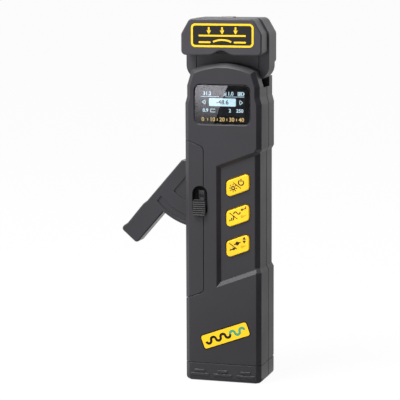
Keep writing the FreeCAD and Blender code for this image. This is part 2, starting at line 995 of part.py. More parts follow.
def screws(label, spots, back, head_height, tip):
    """A set of screws driven in from the back: head and shank each."""
    items = []
    seat = back - head_height
    for x, z in spots:
        head = rod(label + "_head", x, z, seat, back, s.screw_head_radius)
        shank = rod(label + "_shank", x, z, tip, seat, s.screw_radius)
        items.append(fuse(label + "_screw", head, shank))
    return group(label, items)


def case_screws():
    tip = room_front + 2 * s.wall
    return screws("case_screws", case_screws_at, rear - s.screw_sink, s.screw_head_height, tip)


def head_screws():
    tip = cap_front + 3 * s.cap_wall
    back = carriage_back - s.screw_sink
    return screws("head_screws", head_screws_at, back, s.head_screw_height, tip)


def bottom_cap():
    made = body("bottom_cap")
    taper = tangent(s.rear_draft) * (rear - s.shell_split)
    top = s.foot_height - s.seam_gap
    pad(made, "z", sized(0), top, [
        (-half_width + s.edge_bevel, front),
        (half_width - s.edge_bevel, front),
        (half_width, front + s.edge_bevel),
        (half_width, s.shell_split),
        (half_width - taper, rear),
        (-half_width + taper, rear),
        (-half_width, s.shell_split),
        (-half_width, front + s.edge_bevel),
    ])
    soften(made, "Chamfer", s.rear_bevel, lambda e: lies(e, y=rear) and spans(e, top))
    before_rear = rear.value - s.rear_bevel.value - NEAR
    soften(
        made,
        "Fillet",
        s.foot_round,
        lambda e: lies(e, z=0) and e.CenterOfMass.y < before_rear,
    )
    pocket(made, "z", spigot_low - s.seam_gap - s.spigot_gap, top, spigot_plan(s.spigot_gap))
    line = s.parting_bevel
    split = s.shell_split
    pocket(
        made,
        "z",
        sized(0),
        top,
        [
            (half_width - line, split),
            (half_width + line, split - 2 * line),
            (half_width + line, split + 2 * line),
        ],
        [
            (-half_width + line, split),
            (-half_width - line, split + 2 * line),
            (-half_width - line, split - 2 * line),
        ],
    )
    pitch = half_width - s.edge_bevel - s.grip_margin - s.grip_long / 2
    for length, height in ((s.grip_short, s.grip_high), (s.grip_long, s.grip_low)):
        low = height - s.grip_height / 2
        bars = [
            rectangle(x - length / 2, x + length / 2, low, low + s.grip_height)
            for x in (-pitch, sized(0), pitch)
        ]
        pad(made, "y", front - s.grip_proud, front + s.grip_proud, *bars)
    return made


def port_plate():
    made = body("port_plate")
    flange = rectangle(room_left, room_right, room_front, room_back)
    pad(made, "z", s.foot_height, cell_bottom, flange)
    pad(made, "z", spigot_low, s.foot_height, spigot_plan(sized(0)))
    light_bore = rings([(light_port_x, port_y)], s.port_radius)
    meter_bore = rings([(meter_port_x, port_y)], s.meter_radius)
    pocket(made, "z", spigot_low, cell_bottom, *light_bore, *meter_bore)
    pocket(made, "z", spigot_low, cell_bottom, socket_plan(sized(0)))
    return made


def fault_light_port():
    made = body("fault_light_port")
    high = port_low + s.port_length
    turned(made, light_port_x, port_y, [
        (s.ferrule_radius, port_low),
        (s.port_radius, port_low),
        (s.port_radius, high),
        (s.port_neck_radius, high),
        (s.port_neck_radius, high + s.port_neck),
        (s.ferrule_radius, high + s.port_neck),
    ])
    return made


def meter_port():
    made = body("meter_port")
    floor = cell_bottom - s.wall
    turned(made, meter_port_x, port_y, [
        (s.meter_bore, port_low),
        (s.meter_radius, port_low),
        (s.meter_radius, cell_bottom),
        (0, cell_bottom),
        (0, floor),
        (s.meter_bore, floor),
    ])
    return made


def charge_socket():
    made = body("charge_socket")
    floor = cell_bottom - s.wall
    pad(made, "z", port_low, cell_bottom, socket_plan(sized(0)))
    pocket(made, "z", port_low, floor, socket_plan(s.socket_skin))
    half = s.socket_tongue / 2
    tongue = rectangle(-half, half, port_y - s.socket_skin, port_y + s.socket_skin)
    pad(made, "z", port_low + s.socket_skin, floor, tongue)
    return made


def battery_cell():
    made = body("battery_cell")
    radius = s.cell_radius - s.running_gap
    turned(made, cell_x, cell_y, [
        (0, cell_bottom),
        (radius, cell_bottom),
        (radius, cell_top - s.cell_nub),
        (s.cell_nub_radius, cell_top - s.cell_nub),
        (s.cell_nub_radius, cell_top),
        (0, cell_top),
    ])
    return made


# Display, keys and board


def display_window():
    made = body("display_window")
    gap = s.key_gap / 2
    half = window_half - gap
    low = window_bottom + gap
    outline = rectangle(-half, half, low, window_top - gap)
    pad(made, "y", front + s.running_gap, window_back, outline)
    depth = s.window_thickness - s.running_gap
    soften(made, "Fillet", s.window_corner - gap, lambda e: spans(e, depth))
    return made


def display_module():
    made = body("display_module")
    pad(made, "y", window_back, window_back + s.display_thickness, display_outline())
    return made


def key(index):
    made = body(key_names[index] + "_button")
    top = recess_floor - s.key_proud
    flange_front = room_front + s.running_gap
    flange_back = room_front + s.key_flange_thickness
    pad(made, "y", top, flange_front, key_outline(index, sized(0)))
    soften(made, "Fillet", s.key_round, lambda e: spans(e, flange_front - top))
    soften(made, "Chamfer", s.key_bevel, lambda e: lies(e, y=top))
    pad(made, "y", flange_front, flange_back, key_outline(index, s.key_flange))
    pad(made, "y", flange_back, key_back, *rings([key_middle(index)], s.standoff_radius))
    return made


def key_switch(index):
    made = body(key_names[index] + "_switch")
    x, z = key_middle(index)
    half = s.switch_side / 2
    cap_back = switch_front + s.switch_cap
    pad(made, "y", cap_back, board_front, rectangle(x - half, x + half, z - half, z + half))
    pad(made, "y", switch_front, cap_back, *rings([(x, z)], s.standoff_radius))
    return made


def main_board():
    made = body("main_board")
    outline = rectangle(board_left, board_right, board_bottom, board_top)
    pad(made, "y", board_front, board_back, outline)
    return made


# Lever and lock


def lever():
    arm = body("lever_arm")
    tip = s.lever_tip
    pad(arm, "y", lever_front, lever_back, [
        (-s.lever_inner, 0),
        (-s.lever_outer, -s.lever_shoulder),
        (-s.lever_outer, -s.handle_top),
        (-handle_outer, -s.handle_top - s.handle_ramp),
        (-handle_end, -s.lever_length + s.lip_rise),
        (-lip_outer, -s.lever_length + s.lip_rise - s.lip_ramp),
        (-lip_outer, -s.lever_length + tip),
        (-lip_outer + tip, -s.lever_length, tip),
        (s.lever_inner - tip, -s.lever_length),
        (s.lever_inner, -s.lever_length + tip, tip),
        (s.lever_inner, 0),
    ])
    soften(
        arm,
        "Fillet",
        s.lever_round,
        lambda e: lies(e, x=-s.lever_outer, z=-s.lever_shoulder),
    )
    soften(
        arm,
        "Chamfer",
        s.lever_edge,
        lambda e: lies(e, y=lever_front) or lies(e, y=lever_back),
    )
    hub = rod("lever_hub", 0, 0, lever_front, lever_back, s.hub_radius)
    fan = sector("lever_fan", s.fan_radius, lever_front, lever_back)
    whole = fuse("lever_blank", arm, hub, fan)
    made = cut("lever", whole, fuse("lever_cuts", *lever_cuts()))
    made.Placement.Rotation = FreeCAD.Rotation(FreeCAD.Vector(0, 1, 0), s.press_angle.value)
    bind(made, "Placement.Rotation.Angle", s.press_angle)
    bind(made, "Placement.Base.x", pivot_x)
    bind(made, "Placement.Base.z", pivot_z)
    return made


def lever_cuts():
    """The arc track and the sunk face of the fan, the two bores and the lock's bite."""
    far = s.fan_radius
    depth = (lever_front - s.wall, lever_front + s.track_depth)
    track_ring = cut(
        "lever_track_ring",
        rod("lever_track_outer", 0, 0, *depth, s.track_outer),
        rod("lever_track_inner", 0, 0, *depth, s.track_inner),
    )
    track_side = box("lever_track_side", (-s.track_left, far), depth, (-far, sized(0)))
    face_disc = rod("lever_face_disc", 0, 0, *depth, s.face_radius)
    face_side = box("lever_face_side", (-s.face_left, far), depth, (-far, -s.hub_radius))
    through = (lever_front - s.wall, lever_back + s.wall)
    crank_spot = (-s.crank_radius * cosine(half_press), -s.crank_radius * sine(half_press))
    bite_left = hook_left - pivot_x - s.lever_gap
    bite_right = hook_right - pivot_x + s.lever_gap
    bite_top = s.hook_bite + s.lever_gap - far
    return [
        meet("lever_track", track_ring, track_side),
        meet("lever_face", face_disc, face_side),
        rod("lever_bore", 0, 0, *through, s.pivot_radius + s.running_gap),
        rod("lever_crank", *crank_spot, sized(0), through[1], s.crank_pin_radius),
        box("lever_bite", (bite_left, bite_right), (-s.lever_gap, far), (-far - s.wall, bite_top)),
    ]


def sector(label, radius, y_from, y_to):
    """A pie slice hanging from the pivot, from straight down towards the right."""
    made = doc.addObject("Part::Cylinder", label)
    made.Label = label
    upright = FreeCAD.Rotation(FreeCAD.Vector(1, 0, 0), 90)
    down = FreeCAD.Rotation(FreeCAD.Vector(0, 0, 1), -90)
    made.Placement.Rotation = upright * down
    bind(made, "Radius", radius)
    bind(made, "Height", y_to - y_from)
    bind(made, "Angle", s.fan_angle)
    bind(made, "Placement.Base.y", y_to)
    return made


def crank_pin():
    return rod("crank_pin", crank_x, crank_z, sized(0), drawbar_back, s.crank_pin_radius)


def pivot_pin():
    ends = (room_front + s.wall / 2, room_back - s.wall / 2)
    return rod("pivot_pin", pivot_x, pivot_z, *ends, s.pivot_radius)


def lock_slider():
    made = body("lock_slider")
    left = lock_x - s.thumb_width / 2
    right = lock_x + s.thumb_width / 2
    back = front - s.stem_gap
    top = front - s.thumb_proud
    pad(made, "y", top, back, rectangle(left, right, thumb_bottom, thumb_top))
    soften(made, "Chamfer", s.thumb_bevel, lambda e: spans(e, back - top))
    count = int(s.thumb_height.value / s.ridge_pitch.value) - 1
    lowest = thumb_bottom + (s.thumb_height - s.ridge_pitch * count) / 2
    grooves = []
    for index in range(count):
        low = lowest + s.ridge_pitch * index
        high = low + s.ridge_pitch
        grooves.append([(top, low), (top + s.ridge_depth, (low + high) / 2), (top, high)])
    pocket(made, "x", left, right, *grooves)
    inset = s.thumb_foot
    foot = rectangle(left + inset, right - inset, thumb_bottom + inset, thumb_top - inset)
    pad(made, "y", back, lock_floor - s.stem_gap, foot)
    half = s.stem_width / 2
    pad(made, "y", back, hook_front, rectangle(lock_x - half, lock_x + half, stem_bottom, stem_top))
    return made


def lock_hook():
    made = body("lock_hook")
    plate_left = lock_x - s.stem_width / 2
    pad(made, "y", hook_front, hook_back, [
        (hook_left, hook_arm_bottom),
        (hook_right, hook_arm_bottom),
        (hook_right, stem_top),
        (plate_left, stem_top),
        (plate_left, stem_bottom),
        (hook_left, stem_bottom - (hook_left - plate_left)),
    ])
    reach = lever_back - s.lever_gap
    arm = rectangle(hook_left, hook_right, hook_arm_bottom, hook_arm_top)
    pad(made, "y", hook_back, reach, arm)
    tooth = rectangle(hook_left, hook_right, hook_arm_bottom, tooth_top)
    pad(made, "y", sized(0), reach, tooth)
    return made


# Head and clamp


def head_cap():
    made = body("head_cap")
    pad(made, "y", cap_front, neck_front, head_outline(cap_half, cap_bottom))
    depth = neck_front - cap_front
    low_corner = cap_bottom.value + NEAR
    high_corner = head_top.value - s.corner_drop.value - NEAR
    soften(
        made,
        "Fillet",
        s.cap_round,
        lambda e: spans(e, depth) and e.CenterOfMass.z < low_corner,
    )
    soften(
        made,
        "Fillet",
        s.head_round,
        lambda e: spans(e, depth) and e.CenterOfMass.z > high_corner,
    )
    reach = s.notch_half_width * s.notch_half_width + s.notch_rise * s.notch_rise
    radius = reach / (2 * s.notch_rise)
    notch = rings([(0, cap_bottom + s.notch_rise - radius)], radius)
    pocket(made, "y", cap_front, neck_front, *notch)
    soften(made, "Fillet", s.notch_round, lambda e: spans(e, depth) and notch_end(e))
    soften(made, "Chamfer", s.cap_bevel, lambda e: lies(e, y=cap_front))
    half = cap_half - s.cap_wall
    top = head_top - s.cap_wall
    hollow = [
        (-half, cap_bottom - s.cap_wall),
        (half, cap_bottom - s.cap_wall),
        (half, top - s.corner_drop),
        (half - s.corner_run, top),
        (-half + s.corner_run, top),
        (-half, top - s.corner_drop),
    ]
    inside = cap_front + s.cap_wall
    pocket(made, "y", inside, neck_front, hollow)
    pad(made, "y", inside, neck_front, *rings(head_screws_at, s.screw_radius + s.boss_wall))
    pocket(made, "y", inside + s.cap_wall, neck_front, *rings(head_screws_at, s.screw_radius))
    return made


def notch_end(edge):
    return abs(abs(edge.CenterOfMass.x) - s.notch_half_width.value) < NEAR


def press_block():
    made = body("press_block")
    half = cap_half - s.cap_wall
    low = cap_bottom + s.cap_bevel
    block = rectangle(-half, half, low, low + s.block_height)
    pad(made, "y", cap_front + s.cap_wall, neck_front, block)
    return made


def head_carriage():
    made = body("head_carriage")
    half = carriage_half
    pad(made, "y", neck_front, carriage_back, head_outline(half, carriage_bottom))
    depth = carriage_back - neck_front
    low_corner = carriage_bottom.value + NEAR
    soften(
        made,
        "Fillet",
        s.cap_round,
        lambda e: spans(e, depth) and e.CenterOfMass.z < low_corner,
    )
    high_corner = head_top.value - s.corner_drop.value - NEAR
    soften(
        made,
        "Fillet",
        s.head_round,
        lambda e: spans(e, depth) and e.CenterOfMass.z > high_corner,
    )
    soften(made, "Chamfer", s.carriage_bevel, lambda e: lies(e, y=carriage_back))
    neck = [
        (-half, neck_bottom + s.neck_round),
        (-half + s.neck_round, neck_bottom, s.neck_round),
        (half - s.neck_round, neck_bottom),
        (half, neck_bottom + s.neck_round, s.neck_round),
        (half, cap_bottom),
        (-half, cap_bottom),
    ]
    pad(made, "y", neck_front, drawbar_back, neck)
    room_half = half - s.corner_run
    lamp_room = rectangle(-room_half, room_half, lamp_room_bottom, lens_low)
    pocket(made, "y", neck_front, carriage_back - s.cap_wall, lamp_room)
    line_half = s.line_width / 2
    line_x = half - s.line_inset
    lines = [
        rectangle(x - line_half, x + line_half, neck_bottom, cap_bottom) for x in (-line_x, line_x)
    ]
    pocket(made, "y", neck_front, neck_front + s.line_width, *lines)
    bore_top = post_top + head_travel + s.cap_wall
    pocket(made, "z", neck_bottom, bore_top, *rings(posts_at, s.post_radius + s.running_gap))
    pocket(made, "z", neck_bottom, spring_top, *rings([(0, s.post_back)], spring_room))
    pocket(made, "z", lamp_room_bottom + s.wall, head_top, lens_plan())
    grip = rectangle(drawbar_left, drawbar_right, neck_bottom, neck_bottom + s.drawbar_grip)
    pocket(made, "y", drawbar_front, drawbar_back, grip)
    pin = rings([(drawbar_pin_x, drawbar_pin_z)], s.drawbar_pin_radius)
    pocket(made, "y", s.post_back, drawbar_front, *pin)
    pocket(made, "y", neck_front, carriage_back, *rings(head_screws_at, s.screw_radius))
    seat = carriage_back - s.screw_sink - s.head_screw_height
    pocket(made, "y", seat, carriage_back, *rings(head_screws_at, s.screw_head_radius))
    return made


def led_lens():
    made = body("led_lens")
    top = head_top + s.lens_proud
    pad(made, "z", lens_low, top, lens_plan())
    soften(made, "Chamfer", s.lens_bevel, lambda e: lies(e, z=top))
    return made


def led_lamp():
    made = body("led_lamp")
    half = s.lens_width / 2
    middle = -s.lens_front
    deep = s.lens_depth / 2
    low = lens_low - s.lamp_thickness
    plate = rectangle(-half, half, middle - deep, middle + deep)
    pad(made, "z", low, low + s.lamp_thickness / 2, plate)
    chip = rectangle(-deep, deep, middle - deep / 2, middle + deep / 2)
    pad(made, "z", low, lens_low, chip)
    return made


def drawbar():
    made = body("drawbar")
    slot = s.crank_pin_radius + s.drawbar_slot_gap
    web = crank_x + s.crank_pin_radius + s.drawbar_gap
    top = neck_bottom + s.drawbar_grip
    pad(made, "y", drawbar_front, drawbar_back, [
        (drawbar_left, crank_z - s.drawbar_end),
        (drawbar_right, crank_z - s.drawbar_end),
        (drawbar_right, top),
        (drawbar_left, top),
        (drawbar_left, crank_z + slot),
        (web, crank_z + slot),
        (web, crank_z - slot),
        (drawbar_left, crank_z - slot),
    ])
    pin = rings([(drawbar_pin_x, drawbar_pin_z)], s.drawbar_pin_radius)
    pocket(made, "y", drawbar_front, drawbar_back, *pin)
    return made


def drawbar_pin():
    ends = (s.post_back, drawbar_back)
    return rod("drawbar_pin", drawbar_pin_x, drawbar_pin_z, *ends, s.drawbar_pin_radius)


def anvil():
    made = body("anvil")
    side_top = tongue_centre + root(s.tongue_radius * s.tongue_radius - anvil_half * anvil_half)
    pad(made, "y", anvil_front, slot_face, [
        (-anvil_half, anvil_bottom),
        (anvil_half, anvil_bottom),
        (anvil_half, side_top),
        (-anvil_half, side_top, s.tongue_radius),
    ])
    well_top = anvil_bottom + s.detector_height
    pocket(made, "z", anvil_bottom, well_top, *rings(detectors_at, s.detector_radius))
    pocket(made, "z", anvil_bottom, head_top, *rings(detectors_at, s.light_hole))
    return made


def detector(name, x, y):
    made = body(name)
    rim = anvil_bottom + s.wall / 2
    high = anvil_bottom + s.detector_height - s.running_gap
    turned(made, x, y, [
        (0, anvil_bottom),
        (s.detector_radius, anvil_bottom),
        (s.detector_radius, rim),
        (s.detector_cap_radius, rim),
        (s.detector_cap_radius, high),
        (0, high),
    ])
    return made


def slide_guide():
    made = body("slide_guide")
    low = s.case_height - s.guide_height
    block = rectangle(room_left, room_right, slot_face, slot_back)
    pad(made, "z", low, s.case_height, block)
    seat = s.case_height - s.post_seat
    pocket(made, "z", seat, s.case_height, *rings(posts_at, s.post_radius))
    pocket(made, "z", spring_low, s.case_height, *rings([(0, s.post_back)], spring_room))
    gap = s.drawbar_gap
    way = rectangle(drawbar_left - gap, drawbar_right + gap, drawbar_front - gap, slot_back)
    pocket(made, "z", low, s.case_height, way)
    return made


def guide_post(name, x, y):
    made = body(name)
    turned(made, x, y, [
        (0, s.case_height - s.post_seat),
        (s.post_radius, s.case_height - s.post_seat),
        (s.post_radius, post_top - s.post_bevel),
        (s.post_radius - s.post_bevel, post_top),
        (0, post_top),
    ])
    return made


def return_spring():
    """A coil of square wire."""
    made = body("return_spring")
    drawn = sketch_on(made, "y", s.post_back)
    inner = s.spring_radius - s.wire_half
    outer = s.spring_radius + s.wire_half
    trace(drawn, rectangle(inner, outer, spring_low, spring_low + 2 * s.wire_half))
    coil = made.newObject("PartDesign::AdditiveHelix", "return_spring_coil")
    coil.Profile = drawn
    coil.ReferenceAxis = (drawn, ["V_Axis"])
    coil.Mode = "height-turns-angle"
    bind(coil, "Height", spring_top - spring_low - 2 * s.wire_half)
    bind(coil, "Turns", s.spring_turns)
    return made


pieces = [
    front_shell(),
    rear_shell(),
    lever_guard(),
    case_screws(),
    bottom_cap(),
    port_plate(),
    fault_light_port(),
    meter_port(),
    charge_socket(),
    battery_cell(),
    display_window(),
    display_module(),
    main_board(),
    anvil(),
    slide_guide(),
    return_spring(),
    pivot_pin(),
    lever(),
    crank_pin(),
    lock_slider(),
    lock_hook(),
    head_cap(),
    head_carriage(),
    press_block(),
    head_screws(),
    led_lens(),
    led_lamp(),
    drawbar(),
    drawbar_pin(),
]
pieces += [key(index) for index in range(len(key_names))]
pieces += [key_switch(index) for index in range(len(key_names))]
for index, hand in enumerate(("left", "right")):
    pieces.append(detector("detector_" + hand, *detectors_at[index]))
    pieces.append(guide_post("guide_post_" + hand, *posts_at[index]))
doc.recompute()

failed = [item.Name for item in doc.Objects if {"Invalid", "Error"} & set(item.State)]
failed += [p.Label for p in pieces if p.Shape.isNull() or not p.Shape.isValid() or not p.Shape.Solids]
if failed:
    raise RuntimeError("not built: " + ", ".join(failed))

os.makedirs("parts", exist_ok=True)
for piece in pieces:
    piece.Shape.exportStep(f"parts/{piece.Label}.step")
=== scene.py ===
import math

import bmesh
import bpy
from mathutils import Matrix, Vector


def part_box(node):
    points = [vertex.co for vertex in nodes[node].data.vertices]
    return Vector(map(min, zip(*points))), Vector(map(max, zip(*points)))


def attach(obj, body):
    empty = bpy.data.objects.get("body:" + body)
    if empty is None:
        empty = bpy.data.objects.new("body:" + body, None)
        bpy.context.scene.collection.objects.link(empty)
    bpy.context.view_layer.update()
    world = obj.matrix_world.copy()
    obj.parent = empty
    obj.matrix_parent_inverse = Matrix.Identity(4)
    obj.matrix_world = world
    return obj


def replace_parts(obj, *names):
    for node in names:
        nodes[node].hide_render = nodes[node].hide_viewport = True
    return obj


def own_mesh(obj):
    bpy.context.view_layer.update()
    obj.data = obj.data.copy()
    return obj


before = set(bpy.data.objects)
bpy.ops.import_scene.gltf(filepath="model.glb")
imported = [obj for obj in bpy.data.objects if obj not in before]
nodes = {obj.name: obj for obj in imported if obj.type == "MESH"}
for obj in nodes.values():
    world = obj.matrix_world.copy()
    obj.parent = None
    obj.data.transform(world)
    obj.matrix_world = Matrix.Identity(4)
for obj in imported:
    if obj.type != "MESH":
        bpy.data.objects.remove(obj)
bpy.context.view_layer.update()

# Case. Two moulded shells meet behind the side bevels, with the guard panel let into the left
# of the front, the pull-off cap under the foot and the port plate above it. All are black ABS
# from tools with one spark-eroded finish, screwed and clipped together.

MM = 0.001
# Patterns run from 0 to 1, and their tones are even below the first value and above the second.
EVEN_TO = 0.3
EVEN_FROM = 0.7


def linear(code, share=1.0):
    """Scene-linear RGBA of an sRGB hex colour, scaled to a share of its strength."""
    parts = [int(code[at:at + 2], 16) / 255 for at in (1, 3, 5)]
    light = [p / 12.92 if p <= 0.04045 else ((p + 0.055) / 1.055) ** 2.4 for p in parts]
    return [*(share * p for p in light), 1.0]


def add(tree, kind, sockets=None, links=None, **settings):
    """Add a shader node with its settings, socket values and incoming links."""
    node = tree.nodes.new("ShaderNode" + kind)
    for name, value in settings.items():
        setattr(node, name, value)
    for name, value in (sockets or {}).items():
        node.inputs[name].default_value = value
    for name, source in (links or {}).items():
        tree.links.new(source, node.inputs[name])
    return node


def material(name):
    made = bpy.data.materials.new(name)
    made.use_nodes = True
    made.node_tree.nodes.clear()
    return made


def two_tones(tree, source, low, high):
    """Colours of a pattern: one where its value is low, one where it is high."""
    tone = add(tree, "ValToRGB", links={"Fac": source})
    first, last = tone.color_ramp.elements
    first.position = EVEN_TO
    first.color = low
    last.position = EVEN_FROM
    last.color = high
    return tone.outputs["Color"]


def moulded(name, colour, worn, roughness, edge=0.35):
    """Plastic or rubber moulded against a spark-eroded tool: a matte, faintly cloudy skin whose
    corners are rubbed a little paler. The 0.25 mm grain is drawn at 0.6 mm so that it shows."""
    grain_size = 0.6 * MM
    cloud_size = 26 * MM
    shine_spread = 0.04
    made = material(name)
    tree = made.node_tree
    place = add(tree, "TexCoord").outputs["Object"]
    grain = add(tree, "TexNoise", {"Scale": 1 / grain_size, "Detail": 3.0}, {"Vector": place})
    cloud = add(tree, "TexNoise", {"Scale": 1 / cloud_size, "Detail": 4.0}, {"Vector": place})
    corner = add(tree, "Bevel", {"Radius": edge * MM}, samples=6)
    true_normal = add(tree, "NewGeometry").outputs["True Normal"]
    facing = add(
        tree, "VectorMath", links={0: corner.outputs[0], 1: true_normal}, operation="DOT_PRODUCT"
    )
    rubbed = add(
        tree,
        "MapRange",
        {"From Min": 1.0, "From Max": 0.8, "To Min": 0.0, "To Max": 1.0},
        {"Value": facing.outputs["Value"]},
    )
    dark = linear(colour, share=0.9)
    pale = linear(colour, share=1.12)
    skin = add(
        tree,
        "Mix",
        {"B": linear(worn)},
        {"Factor": rubbed.outputs[0], "A": two_tones(tree, cloud.outputs["Fac"], dark, pale)},
        data_type="RGBA",
    )
    shine = add(
        tree,
        "MapRange",
        {
            "From Min": EVEN_TO,
            "From Max": EVEN_FROM,
            "To Min": roughness - shine_spread,
            "To Max": roughness + shine_spread,
        },
        {"Value": cloud.outputs["Fac"]},
    )
    relief = add(
        tree,
        "Bump",
        {"Strength": 0.18, "Distance": 0.03 * MM},
        {"Height": grain.outputs["Fac"], "Normal": corner.outputs[0]},
    )
    surface = add(
        tree,
        "BsdfPrincipled",
        {"IOR": 1.5},
        {
            "Base Color": skin.outputs["Result"],
            "Roughness": shine.outputs[0],
            "Normal": relief.outputs[0],
        },
    )
    add(tree, "OutputMaterial", links={"Surface": surface.outputs[0]})
    return made


def dress(finish, *names):
    for name in names:
        nodes[name].data.materials.clear()
        nodes[name].data.materials.append(finish)


CASE_BLACK = "#252328"
CASE_WORN = "#39373D"
CASE_MATTE = 0.46
black_abs = moulded("black_abs_spark_eroded", CASE_BLACK, CASE_WORN, CASE_MATTE, edge=0.55)
dress(black_abs, "front_shell", "rear_shell", "lever_guard")
crisp_abs = moulded("black_abs_crisp", CASE_BLACK, CASE_WORN, CASE_MATTE)
dress(crisp_abs, "bottom_cap", "port_plate")

# Pins, posts, drawbar, hook and detector cans. Ground steel, pressed or riveted into the
# mouldings and left bare inside the case.


def bare_metal(name, colour, roughness, streak):
    """Bare metal: fine streaks along the part scatter the shine across them."""
    along = 0.05
    made = material(name)
    tree = made.node_tree
    place = add(tree, "TexCoord").outputs["Object"]
    stretch = add(tree, "Mapping", {"Scale": (1.0, 1.0, along)}, {"Vector": place}).outputs[0]
    lines = add(tree, "TexNoise", {"Scale": 1 / (streak * MM), "Detail": 2.0}, {"Vector": stretch})
    shine = add(
        tree,
        "MapRange",
        {"To Min": roughness - 0.08, "To Max": roughness + 0.12},
        {"Value": lines.outputs["Fac"]},
    )
    relief = add(
        tree, "Bump", {"Strength": 0.15, "Distance": 0.02 * MM}, {"Height": lines.outputs["Fac"]}
    )
    surface = add(
        tree,
        "BsdfPrincipled",
        {"Base Color": linear(colour), "Metallic": 1.0},
        {"Roughness": shine.outputs[0], "Normal": relief.outputs[0]},
    )
    add(tree, "OutputMaterial", links={"Surface": surface.outputs[0]})
    return made


ground_steel = bare_metal("ground_steel", "#C3C4C6", roughness=0.34, streak=0.5)
dress(ground_steel, "pivot_pin", "crank_pin", "drawbar", "drawbar_pin", "lock_hook")
dress(ground_steel, "guide_post_left", "guide_post_right", "detector_left", "detector_right")

# Return spring. A coil of drawn steel wire stands on the slide guide and carries the head. It
# keeps the node's shape.

drawn_steel = bare_metal("drawn_spring_steel", "#AEB0B3", roughness=0.28, streak=0.3)


def linked(name, shape, finish):
    """Make an object of a bmesh, with its finish."""
    mesh = bpy.data.meshes.new(name)
    shape.to_mesh(mesh)
    shape.free()
    mesh.materials.append(finish)
    made = bpy.data.objects.new(name, mesh)
    bpy.context.scene.collection.objects.link(made)
    return made


def piece(name, shape, finish, body):
    """Make a piece of the part, with its body and material slot."""
    made = linked(name, shape, finish)
    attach(made, body)
    return made


MERGE_WITHIN = 0.001 * MM
coil = bmesh.new()
coil.from_mesh(nodes["return_spring"].data)
bmesh.ops.remove_doubles(coil, verts=coil.verts, dist=MERGE_WITHIN)
spring = piece("return_spring_coil", coil, drawn_steel, "case")
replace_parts(spring, "return_spring")
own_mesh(spring)

# Screws. Cross-recess pan screws of blackened steel hold the rear shell from the back and tie
# the head cap to its carriage. Each head has a domed rim and a four-armed recess.

black_oxide = bare_metal("blackened_steel", "#4A4B4E", roughness=0.4, streak=0.4)
FACE_BACK = Matrix.Rotation(math.radians(-90), 4, "X")
SCREW_RADIUS = 1.97
SHANK_RADIUS = 1.1
CASE_SCREW_HEAD = 1.6
CAP_SCREW_HEAD = 0.8
LOW_SCREWS = (15.2, 23.2)
HIGH_SCREWS = (10.51, 143.2)
CAP_SCREWS = (13.0, 194.2)


def settle(shape, form, place):
    """Move a form drawn in millimetres to its place and add it to a piece's shape."""
    bmesh.ops.transform(form, matrix=Matrix.Scale(MM, 4) @ place, verts=form.verts)
    part = bpy.data.meshes.new("form")
    form.to_mesh(part)
    form.free()
    shape.from_mesh(part)
    bpy.data.meshes.remove(part)


def drawn_out(form, radius, height):
    """Extrude the open border to a round ring of the given radius and height."""
    ring = bmesh.ops.extrude_edge_only(form, edges=[e for e in form.edges if e.is_boundary])
    for vert in [item for item in ring["geom"] if isinstance(item, bmesh.types.BMVert)]:
        flat = vert.co.xy.normalized() * radius
        vert.co = (flat.x, flat.y, height)


def screw(shape, spot, head, length):
    """One screw: the recessed head is drawn out from a grid, then the shank below it."""
    arm = 0.26 * SCREW_RADIUS
    reach = 0.62 * SCREW_RADIUS
    crown = 0.9 * SCREW_RADIUS
    crown_drop = 0.06 * head
    rim_drop = 0.3 * head
    recess = 0.55 * head
    half = 0.5
    form = bmesh.new()
    bmesh.ops.create_grid(form, x_segments=3, y_segments=3, size=2 * half)
    for vert in form.verts:
        vert.co.x = math.copysign(arm if abs(vert.co.x) < half else reach, vert.co.x)
        vert.co.y = math.copysign(arm if abs(vert.co.y) < half else reach, vert.co.y)
    middles = [(face, face.calc_center_median()) for face in form.faces]
    cross = [face for face, middle in middles if min(abs(middle.x), abs(middle.y)) < arm]
    drawn_out(form, crown, -crown_drop)
    sunk = bmesh.ops.extrude_face_region(form, geom=cross)
    floor = [item for item in sunk["geom"] if isinstance(item, bmesh.types.BMVert)]
    bmesh.ops.delete(form, geom=cross, context="FACES")
    bmesh.ops.translate(form, verts=floor, vec=(0, 0, -recess))
    drawn_out(form, SCREW_RADIUS, -rim_drop)
    drawn_out(form, SCREW_RADIUS, -head)
    drawn_out(form, SHANK_RADIUS, -head)
    drawn_out(form, SHANK_RADIUS, -length)
    bmesh.ops.holes_fill(form, edges=[e for e in form.edges if e.is_boundary])
    bmesh.ops.recalc_face_normals(form, faces=form.faces)
    settle(shape, form, Matrix.Translation(spot) @ FACE_BACK)


def screw_set(name, node, pairs, head, body):
    """The screws that stand for a node, in pairs left and right, from its own front and back."""
    tip, back = (corner[1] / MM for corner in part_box(node))
    shape = bmesh.new()
    for across, up in pairs:
        for x in (-across, across):
            screw(shape, (x, back, up), head, back - tip)
    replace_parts(piece(name, shape, black_oxide, body), node)


screw_set("case_screw_set", "case_screws", [LOW_SCREWS, HIGH_SCREWS], CASE_SCREW_HEAD, "case")
screw_set("head_screw_set", "head_screws", [CAP_SCREWS], CAP_SCREW_HEAD, "head")

# Ports under the foot. A nickel-plated sleeve for the test light, a second one for the meter
# and a pressed charge socket, all seated in the port plate behind the cap.

nickel = bare_metal("nickel_plated_brass", "#CFC9BC", roughness=0.22, streak=0.3)
dress(nickel, "fault_light_port", "meter_port", "charge_socket")

# Battery cell. One lithium cell in a shrunk sleeve of blue PVC, shiny and mottled by shallow
# wrinkles. It lies in two ribs of the rear shell.

